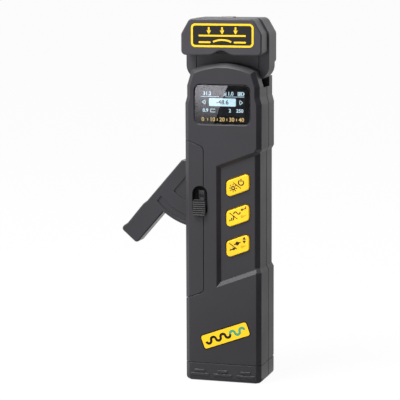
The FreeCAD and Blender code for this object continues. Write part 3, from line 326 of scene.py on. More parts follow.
WRINKLE_SIZE = 5 * MM
shrunk_pvc = material("shrunk_pvc_sleeve")
sleeve = shrunk_pvc.node_tree
sleeve_place = add(sleeve, "TexCoord").outputs["Object"]
wrinkle = add(
    sleeve, "TexNoise", {"Scale": 1 / WRINKLE_SIZE, "Detail": 3.0}, {"Vector": sleeve_place}
)
sleeve_tone = two_tones(sleeve, wrinkle.outputs["Fac"], linear("#27476F"), linear("#3A6196"))
sleeve_relief = add(
    sleeve, "Bump", {"Strength": 0.25, "Distance": 0.1 * MM}, {"Height": wrinkle.outputs["Fac"]}
)
sleeve_surface = add(
    sleeve,
    "BsdfPrincipled",
    {"Roughness": 0.3, "IOR": 1.53},
    {"Base Color": sleeve_tone, "Normal": sleeve_relief.outputs[0]},
)
add(sleeve, "OutputMaterial", links={"Surface": sleeve_surface.outputs[0]})
dress(shrunk_pvc, "battery_cell")

# Main board with its three key switches. Glass-epoxy laminate under green solder resist, with
# paler copper tracks showing through. The switches and the lamp's holder are black nylon.

TRACK_PITCH = 4 * MM
FLAT_TO_FRONT = (math.radians(90), 0.0, 0.0)
laminate = material("glass_epoxy_laminate")
board = laminate.node_tree
board_place = add(board, "TexCoord").outputs["Object"]
board_turn = add(board, "Mapping", {"Rotation": FLAT_TO_FRONT}, {"Vector": board_place})
tracks = add(
    board,
    "TexBrick",
    {
        "Scale": 1 / TRACK_PITCH,
        "Mortar Size": 0.02,
        "Color1": linear("#1E5A38"),
        "Color2": linear("#1A5032"),
        "Mortar": linear("#3F8A5A"),
    },
    {"Vector": board_turn.outputs[0]},
)
board_surface = add(
    board,
    "BsdfPrincipled",
    {"Roughness": 0.35, "IOR": 1.55},
    {"Base Color": tracks.outputs["Color"]},
)
add(board, "OutputMaterial", links={"Surface": board_surface.outputs[0]})
dress(laminate, "main_board")
black_nylon = moulded("black_nylon_moulded", "#1E1E20", "#2C2C2E", roughness=0.42)
dress(black_nylon, "power_switch", "reference_switch", "set_switch", "led_lamp")

# Anvil, slide guide and press block. The anvil and the guide are black acetal, which slides
# well. The block in the head that bends the fibre is soft black rubber.

black_acetal = moulded("black_acetal_moulded", "#222224", "#333336", roughness=0.38)
dress(black_acetal, "anvil", "slide_guide")
soft_rubber = moulded("black_rubber_moulded", "#1C1C1D", "#262627", roughness=0.75)
dress(soft_rubber, "press_block")

# Display window. A plate of polished acrylic with round corners, laid in the front shell's
# pocket: clear, with a sharp mirror image of the room. Its back is printed black round the
# opening of the display.

HAZE_SIZE = 9 * MM
acrylic = material("clear_acrylic_polished")
glass = acrylic.node_tree
glass_place = add(glass, "TexCoord").outputs["Object"]
haze = add(glass, "TexNoise", {"Scale": 1 / HAZE_SIZE, "Detail": 2.0}, {"Vector": glass_place})
glass_tone = two_tones(glass, haze.outputs["Fac"], linear("#E9EAEE"), linear("#F4F5F8"))
glass_surface = add(
    glass,
    "BsdfPrincipled",
    {"Roughness": 0.0, "IOR": 1.49, "Transmission Weight": 1.0},
    {"Base Color": glass_tone},
)
add(glass, "OutputMaterial", links={"Surface": glass_surface.outputs[0]})


def rounded_plate(shape, centre, size, corner, turn=0.0, steps=6):
    """A thin plate that faces the front: centre and size are (x, y, z), the corners are round."""
    form = bmesh.new()
    bmesh.ops.create_cube(form, size=1.0)
    bmesh.ops.scale(form, vec=size, verts=form.verts)
    if corner:
        upright = [e for e in form.edges if abs(e.verts[0].co.y - e.verts[1].co.y) > size[1] / 2]
        bmesh.ops.bevel(
            form,
            geom=upright,
            offset=corner,
            affect="EDGES",
            segments=steps,
            profile=0.5,
            material=-1,
        )
    settle(shape, form, Matrix.Translation(centre) @ Matrix.Rotation(math.radians(-turn), 4, "Y"))


WINDOW_THICK = 0.9
WINDOW_CORNER = 3.3
WINDOW_EDGE = 0.12
window_low, window_high = (Vector(corner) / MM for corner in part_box("display_window"))
window_size = window_high - window_low
window_middle = (window_low + window_high) / 2
window_middle.y = window_low.y + WINDOW_THICK / 2
window_shape = bmesh.new()
window_block = (window_size.x, WINDOW_THICK, window_size.z)
rounded_plate(window_shape, window_middle, window_block, WINDOW_CORNER, steps=10)
front_half = window_middle.y * MM
front_rim = [e for e in window_shape.edges if all(v.co.y < front_half for v in e.verts)]
bmesh.ops.bevel(
    window_shape,
    geom=front_rim,
    offset=WINDOW_EDGE * MM,
    affect="EDGES",
    segments=2,
    profile=0.5,
    material=-1,
)
window = piece("display_window_plate", window_shape, acrylic, "case")
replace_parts(window, "display_window")


def coating(name, colour, roughness=0.45, specular=0.5):
    """Ink, film, or the black flocked sheet that paints shade into the lock's slot: an even coat
    with faint 0.4 mm specks where it is thinner.
    """
    speck_size = 0.4 * MM
    made = material(name)
    tree = made.node_tree
    place = add(tree, "TexCoord").outputs["Object"]
    specks = add(tree, "TexNoise", {"Scale": 1 / speck_size, "Detail": 2.0}, {"Vector": place})
    thin = linear(colour, share=0.88)
    relief = add(
        tree, "Bump", {"Strength": 0.1, "Distance": 0.02 * MM}, {"Height": specks.outputs["Fac"]}
    )
    surface = add(
        tree,
        "BsdfPrincipled",
        {"Roughness": roughness, "IOR": 1.48, "Specular IOR Level": specular},
        {
            "Base Color": two_tones(tree, specks.outputs["Fac"], thin, linear(colour)),
            "Normal": relief.outputs[0],
        },
    )
    add(tree, "OutputMaterial", links={"Surface": surface.outputs[0]})
    return made


FACE_FRONT = Matrix.Rotation(math.radians(90), 4, "X")


def flat_sheet(size, corner, steps):
    """A flat sheet with round corners, drawn lying: size is (across, up)."""
    form = bmesh.new()
    bmesh.ops.create_grid(form, x_segments=1, y_segments=1, size=0.5)
    bmesh.ops.scale(form, vec=(size[0], size[1], 1.0), verts=form.verts)
    bmesh.ops.bevel(
        form,
        geom=form.verts[:],
        offset=corner,
        affect="VERTICES",
        segments=steps,
        profile=0.5,
        material=-1,
    )
    return form


def thickened(shape, form, centre, deep):
    """Give a flat sheet its depth and stand it up at its centre, facing the front."""
    walls = bmesh.ops.extrude_face_region(form, geom=form.faces[:])
    raised = [item for item in walls["geom"] if isinstance(item, bmesh.types.BMVert)]
    bmesh.ops.translate(form, vec=(0, 0, deep), verts=raised)
    bmesh.ops.recalc_face_normals(form, faces=form.faces)
    settle(shape, form, Matrix.Translation(centre) @ FACE_FRONT)


def opened_plate(shape, centre, size, corner, opening, deep):
    """A flat plate that faces the front, with a square opening cut by four planes. The opening
    (left, right, low, high) is measured from the centre."""
    form = flat_sheet(size, corner, steps=8)
    left, right, low, high = opening
    cuts = [((x, 0, 0), (1, 0, 0)) for x in (left, right)]
    cuts += [((0, y, 0), (0, 1, 0)) for y in (low, high)]
    for spot, across in cuts:
        everything = form.verts[:] + form.edges[:] + form.faces[:]
        bmesh.ops.bisect_plane(form, geom=everything, plane_co=spot, plane_no=across)
    middles = [(face, face.calc_center_median()) for face in form.faces]
    inside = [f for f, middle in middles if left < middle.x < right and low < middle.y < high]
    bmesh.ops.delete(form, geom=inside, context="FACES")
    thickened(shape, form, centre, deep)


MASK_GAP = 0.1
MASK_MARGIN = 0.1
OPENING_LEFT = -12.45
OPENING_RIGHT = 12.6
OPENING_LOW = 147.6
OPENING_HIGH = 161.6
mask_at = (window_middle.x, window_low.y + WINDOW_THICK + MASK_GAP, window_middle.z)
mask_size = (window_size.x - 2 * MASK_MARGIN, window_size.z - 2 * MASK_MARGIN)
mask_opening = (OPENING_LEFT, OPENING_RIGHT, OPENING_LOW - mask_at[2], OPENING_HIGH - mask_at[2])
mask_shape = bmesh.new()
opened_plate(mask_shape, mask_at, mask_size, WINDOW_CORNER - MASK_MARGIN, mask_opening, deep=0.04)
back_print = coating("black_back_print", "#0B0B0C", roughness=0.5, specular=0.1)
piece("display_window_print", mask_shape, back_print, "case")

# Display. A small self-lit panel behind the window, glued to the front shell: a dark glass face
# on which bars, figures and a marked field glow icy white.

PIXEL_SIZE = 0.5 * MM
panel_glass = material("display_panel_glass")
panel = panel_glass.node_tree
panel_place = add(panel, "TexCoord").outputs["Object"]
pixels = add(panel, "TexVoronoi", {"Scale": 1 / PIXEL_SIZE}, {"Vector": panel_place})
panel_tone = two_tones(panel, pixels.outputs["Distance"], linear("#2A2B31"), linear("#1F2026"))
panel_surface = add(
    panel,
    "BsdfPrincipled",
    {"Roughness": 0.2, "IOR": 1.5, "Specular IOR Level": 0.1},
    {"Base Color": panel_tone},
)
add(panel, "OutputMaterial", links={"Surface": panel_surface.outputs[0]})
dress(panel_glass, "display_module")


def lit_pixels(name, colour, strength):
    """Display pixels that glow: the colour dips a little between the 0.5 mm dots."""
    made = material(name)
    tree = made.node_tree
    place = add(tree, "TexCoord").outputs["Object"]
    dots = add(tree, "TexVoronoi", {"Scale": 1 / PIXEL_SIZE}, {"Vector": place})
    dip = linear(colour, share=0.85)
    surface = add(
        tree,
        "BsdfPrincipled",
        {"Base Color": linear("#05070A"), "Roughness": 0.3, "Emission Strength": strength},
        {"Emission Color": two_tones(tree, dots.outputs["Distance"], linear(colour), dip)},
    )
    add(tree, "OutputMaterial", links={"Surface": surface.outputs[0]})
    return made


icy_pixels = lit_pixels("display_pixels_icy", "#CFF1FB", strength=1.35)
dark_pixels = lit_pixels("display_pixels_off", "#14202A", strength=1.0)
PIXEL_LIFT = 0.06
FIELD_LIFT = 0.04
PANEL_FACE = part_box("display_module")[0][1] / MM - PIXEL_LIFT
FILM = 0.03


def numbers(shape, words, centre, height):
    """Plain figures, made a mesh, standing on the front at centre (x, y, z)."""
    font_size_to_figure = 1.38
    curve = bpy.data.curves.new("figures", "FONT")
    curve.body = words
    curve.size = height * font_size_to_figure
    curve.align_x = "CENTER"
    curve.align_y = "CENTER"
    curve.extrude = 0.01
    curve.offset = 0.05
    curve.resolution_u = 3
    holder = bpy.data.objects.new("figures", curve)
    part = bpy.data.meshes.new_from_object(holder)
    part.transform(Matrix.Scale(MM, 4) @ Matrix.Translation(centre) @ FACE_FRONT)
    shape.from_mesh(part)
    bpy.data.meshes.remove(part)
    bpy.data.objects.remove(holder)
    bpy.data.curves.remove(curve)


def bar(shape, x, z, width, height, y=PANEL_FACE, turn=0.0, corner=0.0):
    """A printed or lit stroke: a film that faces the front."""
    rounded_plate(shape, (x, y, z), (width, FILM, height), corner, turn, steps=3)


FIRST_ROW = 159.8
FIRST_TALL = 2.0
MARKED_ROW = 155.15
MARKED_TALL = 2.5
LAST_ROW = 150.6
LAST_TALL = 1.9
STROKE = 0.32
lit = bmesh.new()
for words, x in (("31.2", -8.7), ("1.0", 4.6)):
    numbers(lit, words, (x, PANEL_FACE, FIRST_ROW), FIRST_TALL)

# The signal sign has three steps, and the gauge beside it is a cell with two marks.
SIGNAL_X = 0.9
SIGNAL_PITCH = 0.55
SIGNAL_STEP = 0.6
SIGNAL_FOOT = FIRST_ROW - 1.0
for step in range(3):
    tall = SIGNAL_STEP * (step + 1)
    bar(lit, SIGNAL_X + SIGNAL_PITCH * step, SIGNAL_FOOT + tall / 2, width=0.36, height=tall)
GAUGE_X = 10.3
GAUGE_WIDE = 3.3
GAUGE_TALL = 2.1
GAUGE_LINE = 0.3
GAUGE_NUB = 0.25
for side in (-1, 1):
    edge_up = side * (GAUGE_TALL - GAUGE_LINE) / 2
    edge_across = side * (GAUGE_WIDE - GAUGE_LINE) / 2
    bar(lit, GAUGE_X, FIRST_ROW + edge_up, width=GAUGE_WIDE, height=GAUGE_LINE)
    bar(lit, GAUGE_X + edge_across, FIRST_ROW, width=GAUGE_LINE, height=GAUGE_TALL)
bar(lit, GAUGE_X + GAUGE_WIDE / 2 + GAUGE_NUB, FIRST_ROW, width=0.4, height=0.9)
for across in (-0.75, 0.25):
    bar(lit, GAUGE_X + across, FIRST_ROW, width=0.7, height=1.2)
RULE_Z = FIRST_ROW - 1.6
for x, wide in ((-7.1, 10.4), (6.9, 10.8)):
    bar(lit, x, RULE_Z, width=wide, height=0.25)

# The marked field lies between two open arrows.
FIELD_X = -0.05
ARROW_X = 10.6
ARROW_RISE = 0.62
ARROW_BACK = 0.85
ARROW_LEAN = 36.0
bar(lit, FIELD_X, MARKED_ROW, width=15.2, height=4.3, corner=0.5)
for side in (-1, 1):
    for lean in (-1, 1):
        arrow_turn = -side * lean * ARROW_LEAN
        arrow_z = MARKED_ROW + lean * ARROW_RISE
        bar(lit, side * ARROW_X, arrow_z, width=2.1, height=STROKE, turn=arrow_turn)
    bar(lit, side * (ARROW_X - ARROW_BACK), MARKED_ROW, width=STROKE, height=1.5)

# The last row has a bracket sign after its first figures.
BRACKET_X = -6.7
BRACKET_ARM_X = -5.4
BRACKET_ARM_UP = 0.8
bar(lit, BRACKET_X, LAST_ROW, width=STROKE, height=LAST_TALL)
for side in (-1, 1):
    bar(lit, BRACKET_ARM_X, LAST_ROW + side * BRACKET_ARM_UP, width=2.5, height=STROKE)
for words, x in (("0.9", -9.6), ("2", 4.2), ("250", 9.8)):
    numbers(lit, words, (x, PANEL_FACE, LAST_ROW), LAST_TALL)
piece("display_figures", lit, icy_pixels, "case")
field = bmesh.new()
numbers(field, "-48.6", (0, PANEL_FACE - FIELD_LIFT, MARKED_ROW), MARKED_TALL)
piece("display_field_figures", field, dark_pixels, "case")

# Gold scale under the display. Plain round numbers with tick marks between them are pad-printed
# in one row on the front of the window, below the opening.

gold_ink = coating("gold_pad_print", "#C5A96C")
PRINT_LIFT = 0.02
WINDOW_FACE = window_low.y - PRINT_LIFT
SCALE_ROW = 145.8
SCALE_PITCH = 5.45
SCALE_TALL = 2.2
SCALE_NUMBERS = (0, 10, 20, 30, 40)
scale_marks = bmesh.new()
for step, number in enumerate(SCALE_NUMBERS):
    number_x = (step - len(SCALE_NUMBERS) // 2) * SCALE_PITCH
    numbers(scale_marks, str(number), (number_x, WINDOW_FACE, SCALE_ROW), SCALE_TALL)
    if number < SCALE_NUMBERS[-1]:
        tick_x = number_x + SCALE_PITCH / 2
        bar(scale_marks, tick_x, SCALE_ROW, width=0.4, height=1.3, y=WINDOW_FACE)
piece("window_scale_marks", scale_marks, gold_ink, "case")

# Keys. Three slanted buttons of satin yellow ABS stand in the sunk field, each with dark
# pad-printed signs: a lamp and a power sign, a wave with steps, and arrows for the setting.

yellow_abs = moulded("yellow_abs_satin", "#F3C20A", "#FBD648", roughness=0.46)
dress(yellow_abs, "power_button", "reference_button", "set_button")
dark_ink = coating("black_pad_print", "#1B1A17")
KEY_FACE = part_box("set_button")[0][1] / MM - PRINT_LIFT
KEY_SLANT = 20.8
BOLD = 0.62
FINE = 0.5
FULL_TURN = 360.0
HALF_TURN = 180.0


def arc(shape, x, z, radius, width, start, sweep, y, steps=20):
    """A flat ring or part of one, made by spinning a small outline about its middle."""
    form = bmesh.new()
    bmesh.ops.create_grid(form, x_segments=1, y_segments=1, size=0.5)
    bmesh.ops.scale(form, vec=(width, FILM, 1.0), verts=form.verts)
    bmesh.ops.translate(form, vec=(radius, 0.0, 0.0), verts=form.verts)
    bmesh.ops.rotate(form, matrix=Matrix.Rotation(math.radians(-start), 3, "Y"), verts=form.verts)
    bmesh.ops.delete(form, geom=form.faces[:], context="FACES_ONLY")
    bmesh.ops.spin(
        form,
        geom=form.verts[:] + form.edges[:],
        cent=(0, 0, 0),
        axis=(0, -1, 0),
        angle=math.radians(sweep),
        steps=steps,
        use_merge=sweep >= FULL_TURN,
    )
    bmesh.ops.holes_fill(form, edges=[e for e in form.edges if e.is_boundary])
    bmesh.ops.recalc_face_normals(form, faces=form.faces)
    settle(shape, form, Matrix.Translation((x, y, z)))


def arrowhead(shape, x, z, size, turn, y):
    """A filled triangle that faces the front and points along its turn, 0 to the right."""
    form = bmesh.new()
    bmesh.ops.create_cone(
        form, cap_ends=True, segments=3, radius1=size, radius2=size, depth=FILM, matrix=FACE_FRONT
    )
    upright = Matrix.Rotation(math.radians(90 - turn), 4, "Y")
    settle(shape, form, Matrix.Translation((x, y, z)) @ upright)


def key_spot(key, across, up):
    """A spot on a key's face: across and up run along its slant from its middle."""
    low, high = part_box(key)
    lean = math.radians(KEY_SLANT)
    x = (low[0] + high[0]) / 2 / MM + across * math.cos(lean)
    return x, (low[2] + high[2]) / 2 / MM + across * math.sin(lean) + up


def slash(shape, key, across, up):
    """The fine stroke that parts a key's two signs."""
    x, z = key_spot(key, across, up)
    bar(shape, x, z, width=0.45, height=5.5, y=KEY_FACE, turn=55.0, corner=0.15)


# The power key: an open ring with a stroke, and a lamp with rays.
POWER_STROKE_UP = 1.2
RAYS = 8
RAY_REACH = 1.85
power_signs = bmesh.new()
x, z = key_spot("power_button", across=2.1, up=0.55)
arc(power_signs, x, z, radius=1.45, width=BOLD, start=125.0, sweep=290.0, y=KEY_FACE)
bar(power_signs, x, z + POWER_STROKE_UP, width=BOLD, height=1.7, y=KEY_FACE)
slash(power_signs, "power_button", across=-0.35, up=-0.15)
x, z = key_spot("power_button", across=-2.7, up=-0.9)
arc(power_signs, x, z, radius=0.85, width=BOLD, start=0.0, sweep=FULL_TURN, y=KEY_FACE)
for step in range(RAYS):
    ray_turn = FULL_TURN / RAYS * step
    ray_x = x + RAY_REACH * math.cos(math.radians(ray_turn))
    ray_z = z + RAY_REACH * math.sin(math.radians(ray_turn))
    bar(power_signs, ray_x, ray_z, width=0.85, height=FINE, y=KEY_FACE, turn=ray_turn)
piece("power_key_signs", power_signs, dark_ink, "power_key")

# The reference key: a wave of two half rings, three steps, and a return arrow.
WAVE_LEFT = -1.3
WAVE_UP = 1.35
WAVE_BEND = 0.9
STEPS_LEFT = -4.6
STEPS_FOOT = -1.9
STEPS_PITCH = 1.05
STEP_LOW = 1.0
STEP_RISE = 0.75
reference_signs = bmesh.new()
for half in range(2):
    bend_turn = KEY_SLANT + HALF_TURN * half
    x, z = key_spot("reference_button", across=WAVE_LEFT + 2 * WAVE_BEND * half, up=WAVE_UP)
    arc(reference_signs, x, z, WAVE_BEND, BOLD, bend_turn, HALF_TURN, KEY_FACE, steps=10)
slash(reference_signs, "reference_button", across=-2.5, up=0.4)
for step in range(3):
    tall = STEP_LOW + STEP_RISE * step
    step_across = STEPS_LEFT + STEPS_PITCH * step
    x, z = key_spot("reference_button", across=step_across, up=STEPS_FOOT + tall / 2)
    bar(reference_signs, x, z, width=0.65, height=tall, y=KEY_FACE)
x, z = key_spot("reference_button", across=3.85, up=2.2)
bar(reference_signs, x, z, width=2.4, height=FINE, y=KEY_FACE, turn=KEY_SLANT)
x, z = key_spot("reference_button", across=4.9, up=2.7)
bar(reference_signs, x, z, width=FINE, height=1.2, y=KEY_FACE)
x, z = key_spot("reference_button", across=2.6, up=2.2)
arrowhead(reference_signs, x, z, size=0.85, turn=HALF_TURN + KEY_SLANT, y=KEY_FACE)
piece("reference_key_signs", reference_signs, dark_ink, "reference_key")

# The setting key: a pair of arrows up and down, a knob on its way, and an arrow.
PAIR_UP = 0.85
set_signs = bmesh.new()
x, z = key_spot("set_button", across=4.0, up=1.7)
for side in (1, -1):
    arrowhead(set_signs, x, z + side * PAIR_UP, size=1.15, turn=side * 90.0, y=KEY_FACE)
slash(set_signs, "set_button", across=-2.7, up=0.5)
x, z = key_spot("set_button", across=-0.2, up=1.2)
bar(set_signs, x, z, width=3.9, height=BOLD, y=KEY_FACE, turn=KEY_SLANT)
arc(set_signs, x, z, radius=0.7, width=0.7, start=0.0, sweep=FULL_TURN, y=KEY_FACE)
x, z = key_spot("set_button", across=-3.7, up=-1.1)
bar(set_signs, x, z, width=2.4, height=BOLD, y=KEY_FACE, turn=KEY_SLANT)
x, z = key_spot("set_button", across=-2.2, up=-1.1)
arrowhead(set_signs, x, z, size=1.1, turn=KEY_SLANT, y=KEY_FACE)
piece("set_key_signs", set_signs, dark_ink, "set_key")

# Both lower keys have a small ring and a stroke for holding, in a darker yellow.
ochre_ink = coating("ochre_pad_print", "#C99B12")
for key in ("reference", "set"):
    hold_sign = bmesh.new()
    x, z = key_spot(key + "_button", across=2.7, up=-1.6)
    arc(hold_sign, x, z, radius=0.55, width=FINE, start=0.0, sweep=FULL_TURN, y=KEY_FACE)
    x, z = key_spot(key + "_button", across=4.2, up=-1.6)
    bar(hold_sign, x, z, width=1.6, height=FINE, y=KEY_FACE, turn=KEY_SLANT)
    piece(key + "_hold_sign", hold_sign, ochre_ink, key + "_key")

# Lever and lock slider. Both are moulded in the same black ABS as the case, the lever smoothed by
# the hand. A near-black flocked sheet lines the slider's slot as painted shade, and a grey strip on
# the slider's stem closes its way from behind, with a printed padlock.

handled_abs = moulded("black_abs_handled", "#252429", "#3C3A40", roughness=0.36)
dress(handled_abs, "lever")
ridged_abs = moulded("black_abs_ridged", "#141316", "#2A282C", roughness=0.66)
dress(ridged_abs, "lock_slider")
# The slot's flocked lining is painted shade: a near-black sheet that darkens the slot where its
# walls would shade it.
slot_shade = coating("black_flock_painted_shade", "#111113", roughness=0.8, specular=0.12)
LOCK_X = -12.8
SLOT_FLOOR = -12.8
SLOT_LOW = 92.1
SLOT_HIGH = 109.1
LINER_WIDE = 8.5
LINER_PLAY = 0.1
LINER_CORNER = 4.2
WAY_HALF = 1.9
WAY_LOW = 94.7
WAY_HIGH = 106.5
liner_at = (LOCK_X, SLOT_FLOOR - PRINT_LIFT, (SLOT_LOW + SLOT_HIGH) / 2)
liner_size = (LINER_WIDE, SLOT_HIGH - SLOT_LOW - LINER_PLAY)
way = (-WAY_HALF, WAY_HALF, WAY_LOW - liner_at[2], WAY_HIGH - liner_at[2])
liner_shape = bmesh.new()
opened_plate(liner_shape, liner_at, liner_size, LINER_CORNER, way, deep=0.08)
piece("lock_slot_painted_shade", liner_shape, slot_shade, "case")
grey_nylon = moulded("grey_nylon_moulded", "#5A595E", "#6E6D72", roughness=0.5)
SHIELD_LIFT = 0.17
SHIELD_LOW = 87.6
SHIELD_HIGH = 107.1
SHIELD_WIDE = 5.0
SHIELD_THICK = 0.16
SHIELD_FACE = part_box("lock_hook")[0][1] / MM - SHIELD_LIFT
shield_at = (LOCK_X, SHIELD_FACE, (SHIELD_LOW + SHIELD_HIGH) / 2)
shield_size = (SHIELD_WIDE, SHIELD_THICK, SHIELD_HIGH - SHIELD_LOW)
shield_shape = bmesh.new()
rounded_plate(shield_shape, shield_at, shield_size, corner=0.8)
piece("lock_shield_strip", shield_shape, grey_nylon, "lock")
PADLOCK_FACE = SHIELD_FACE - SHIELD_THICK / 2 - PRINT_LIFT
PADLOCK_Z = 103.2
SHACKLE_Z = PADLOCK_Z + 0.9
SHACKLE = 0.8
padlock = bmesh.new()
bar(padlock, LOCK_X, PADLOCK_Z, width=2.4, height=1.7, y=PADLOCK_FACE, corner=0.2)
arc(padlock, LOCK_X, SHACKLE_Z, SHACKLE, SHACKLE / 2, 0.0, HALF_TURN, PADLOCK_FACE, steps=8)
piece("lock_padlock_sign", padlock, dark_ink, "lock")

# Head. A deep cap and its carriage drop over the fibre as one, moulded in a greyer black ABS than
# the case. A film label on the cap has a yellow rim and a line sign of a fibre laid on its rest.

head_abs = moulded("grey_black_abs_spark_eroded", "#353338", "#48464B", roughness=0.46)
dress(head_abs, "head_cap", "head_carriage")
label_film = coating("black_label_film", "#1D1B19", roughness=0.4, specular=0.3)
yellow_ink = coating("yellow_pad_print", "#F7CB20")
CAP_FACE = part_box("head_cap")[0][1] / MM - PRINT_LIFT
LABEL_X = 0.72
LABEL_Z = 191.42
label_at = (LABEL_X, CAP_FACE, LABEL_Z)


def rim(shape, centre, size, corner, line, deep):
    """A flat rounded frame that faces the front: its line is what an inset leaves outside."""
    form = flat_sheet(size, corner, steps=6)
    middle = form.faces[:]
    bmesh.ops.inset_region(
        form, faces=middle, thickness=line, use_boundary=True, use_even_offset=True
    )
    bmesh.ops.delete(form, geom=middle, context="FACES")
    thickened(shape, form, centre, deep)


plate_shape = bmesh.new()
rounded_plate(plate_shape, label_at, size=(34.6, 0.06, 12.2), corner=2.0)
piece("head_label_plate", plate_shape, label_film, "head")
label_rim = bmesh.new()
rim(label_rim, label_at, size=(35.2, 12.75), corner=2.4, line=1.1, deep=0.08)
piece("head_label_rim", label_rim, yellow_ink, "head")

# The sign: three arrows press a fibre, which lies over a bowed rest between two flat ends.
SIGN_FACE = CAP_FACE - 0.05
SIGN_LINE = 0.95
ARROW_PITCH = 7.5
SHAFT_Z = LABEL_Z + 3.5
POINT_Z = LABEL_Z + 2.0
FIBRE_Z = LABEL_Z - 0.15
REST_Z = LABEL_Z - 3.7
REST_END_X = 9.9
BOW_Z = LABEL_Z - 15.0
BOW_RADIUS = 12.6
BOW_SWEEP = 48.0
bow_start = (HALF_TURN - BOW_SWEEP) / 2
sign = bmesh.new()
for side in (-1, 0, 1):
    arrow_x = LABEL_X + side * ARROW_PITCH
    bar(sign, arrow_x, SHAFT_Z, width=SIGN_LINE, height=1.9, y=SIGN_FACE)
    arrowhead(sign, arrow_x, POINT_Z, size=1.45, turn=-90.0, y=SIGN_FACE)
bar(sign, LABEL_X, FIBRE_Z, width=26.5, height=SIGN_LINE, y=SIGN_FACE, corner=0.4)
arc(sign, LABEL_X, BOW_Z, BOW_RADIUS, SIGN_LINE, bow_start, BOW_SWEEP, SIGN_FACE)
for side in (-1, 1):
    rest_x = LABEL_X + side * REST_END_X
    bar(sign, rest_x, REST_Z, width=6.8, height=SIGN_LINE, y=SIGN_FACE, corner=0.4)
piece("head_label_sign", sign, yellow_ink, "head")

# Lamp lens. A round-ended bar of smoked polycarbonate stands out of the top of the head. It is
# frosted in its mould, so it looks milky grey and spreads the light of the lamp under it.

FROST_SIZE = 0.5 * MM
frosted = material("smoked_polycarbonate_frosted")
lens = frosted.node_tree
lens_place = add(lens, "TexCoord").outputs["Object"]
frost = add(lens, "TexNoise", {"Scale": 1 / FROST_SIZE, "Detail": 2.0}, {"Vector": lens_place})
frost_relief = add(
    lens, "Bump", {"Strength": 0.3, "Distance": 0.05 * MM}, {"Height": frost.outputs["Fac"]}
)
frost_shine = add(
    lens, "MapRange", {"To Min": 0.4, "To Max": 0.6}, {"Value": frost.outputs["Fac"]}
)
lens_surface = add(
    lens,
    "BsdfPrincipled",
    {"Base Color": linear("#8E8D92"), "IOR": 1.58, "Transmission Weight": 0.4},
    {"Roughness": frost_shine.outputs[0], "Normal": frost_relief.outputs[0]},
)
add(lens, "OutputMaterial", links={"Surface": lens_surface.outputs[0]})
dress(frosted, "led_lens")

# Sticker. A printed vinyl label is stuck at a slant on the foot of the front: yellow inside a
# thin dark edge, with a plain wave in black and green.

vinyl_black = coating("black_vinyl_print", "#151410", roughness=0.35, specular=0.25)
vinyl_yellow = coating("yellow_vinyl_print", "#F7C60A", roughness=0.35, specular=0.35)
vinyl_green = coating("green_vinyl_print", "#3F9A74", roughness=0.35)
STICKER_FACE = -15.06
STICKER_X = 1.63
STICKER_Z = 26.5
STICKER_LEAN = 20.1
GROUND_FACE = STICKER_FACE - 0.04
edge_shape = bmesh.new()
edge_at = (STICKER_X, STICKER_FACE, STICKER_Z)
rounded_plate(edge_shape, edge_at, size=(28.7, 0.1, 8.8), corner=1.8, turn=STICKER_LEAN)
piece("sticker_edge", edge_shape, vinyl_black, "case")
ground_shape = bmesh.new()
ground_at = (STICKER_X, GROUND_FACE, STICKER_Z)
rounded_plate(ground_shape, ground_at, size=(27.5, 0.08, 7.6), corner=1.3, turn=STICKER_LEAN)
piece("sticker_ground", ground_shape, vinyl_yellow, "case")


def on_sticker(across, up):
    """A spot on the sticker: across and up run along its slant from its middle."""
    lean = math.radians(STICKER_LEAN)
    x = STICKER_X + across * math.cos(lean) - up * math.sin(lean)
    return x, STICKER_Z + across * math.sin(lean) + up * math.cos(lean)


WAVE_RADIUS = 1.45
WAVE_LINE = 1.4
WAVE_BENDS = 8
BLACK_BENDS = 5
WAVE_FACE = STICKER_FACE - 0.09
black_wave = bmesh.new()
green_wave = bmesh.new()
for step in range(WAVE_BENDS):
    x, z = on_sticker(across=(step - (WAVE_BENDS - 1) / 2) * 2 * WAVE_RADIUS, up=-0.1)
    bend_turn = STICKER_LEAN + (0.0 if step % 2 else HALF_TURN)
    wave = black_wave if step < BLACK_BENDS else green_wave
    arc(wave, x, z, WAVE_RADIUS, WAVE_LINE, bend_turn, HALF_TURN, WAVE_FACE, steps=12)
piece("sticker_wave_black", black_wave, vinyl_black, "case")
piece("sticker_wave_green", green_wave, vinyl_green, "case")

# Studio. A pale floor in an open white surround, a weak soft lamp at the front left and a strong
# one above it. Black cards and a gauze that show only in the gloss keep bevels and sides dark,
# and a pair of cards in front is what the window mirrors.


def seen_share(tree):
    """1 for what the camera sees, directly, in gloss or through glass, and 0 for other rays."""
    rays = add(tree, "LightPath").outputs
    direct = add(
        tree,
        "Math",
        links={0: rays["Is Camera Ray"], 1: rays["Is Glossy Ray"]},
        operation="MAXIMUM",
    )
    clear = add(
        tree,
        "Math",
        links={0: direct.outputs[0], 1: rays["Is Transmission Ray"]},
        operation="MAXIMUM",
    )
    return clear.outputs[0]


# The floor looks nearly white, and the rest of its share keeps the object's shadow.
FLOOR_WHITE = 0.96
floor_paint = material("pale_studio_floor")
ground = floor_paint.node_tree
share = add(ground, "Math", {1: FLOOR_WHITE}, {0: seen_share(ground)}, operation="MULTIPLY")
matte = add(ground, "BsdfDiffuse", {"Color": linear("#F4F4F4")})
white = add(ground, "Emission", {"Color": linear("#FFFFFF"), "Strength": 1.0})
blend = add(
    ground,
    "MixShader",
    links={0: share.outputs[0], 1: matte.outputs[0], 2: white.outputs[0]},
)
add(ground, "OutputMaterial", links={"Surface": blend.outputs[0]})
LEVEL = Matrix.Identity(4)


def stage_plane(name, size, place, turn, paint):
    """A flat sheet of the studio, in metres."""
    shape = bmesh.new()
    bmesh.ops.create_grid(shape, x_segments=1, y_segments=1, size=0.5)
    grow = Matrix.Diagonal((size[0], size[1], 1.0, 1.0))
    bmesh.ops.transform(shape, matrix=Matrix.Translation(place) @ turn @ grow, verts=shape.verts)
    made = linked(name, shape, paint)
    return made


stage_plane("floor", size=(40.0, 40.0), place=(0, 0, -0.0002), turn=LEVEL, paint=floor_paint)


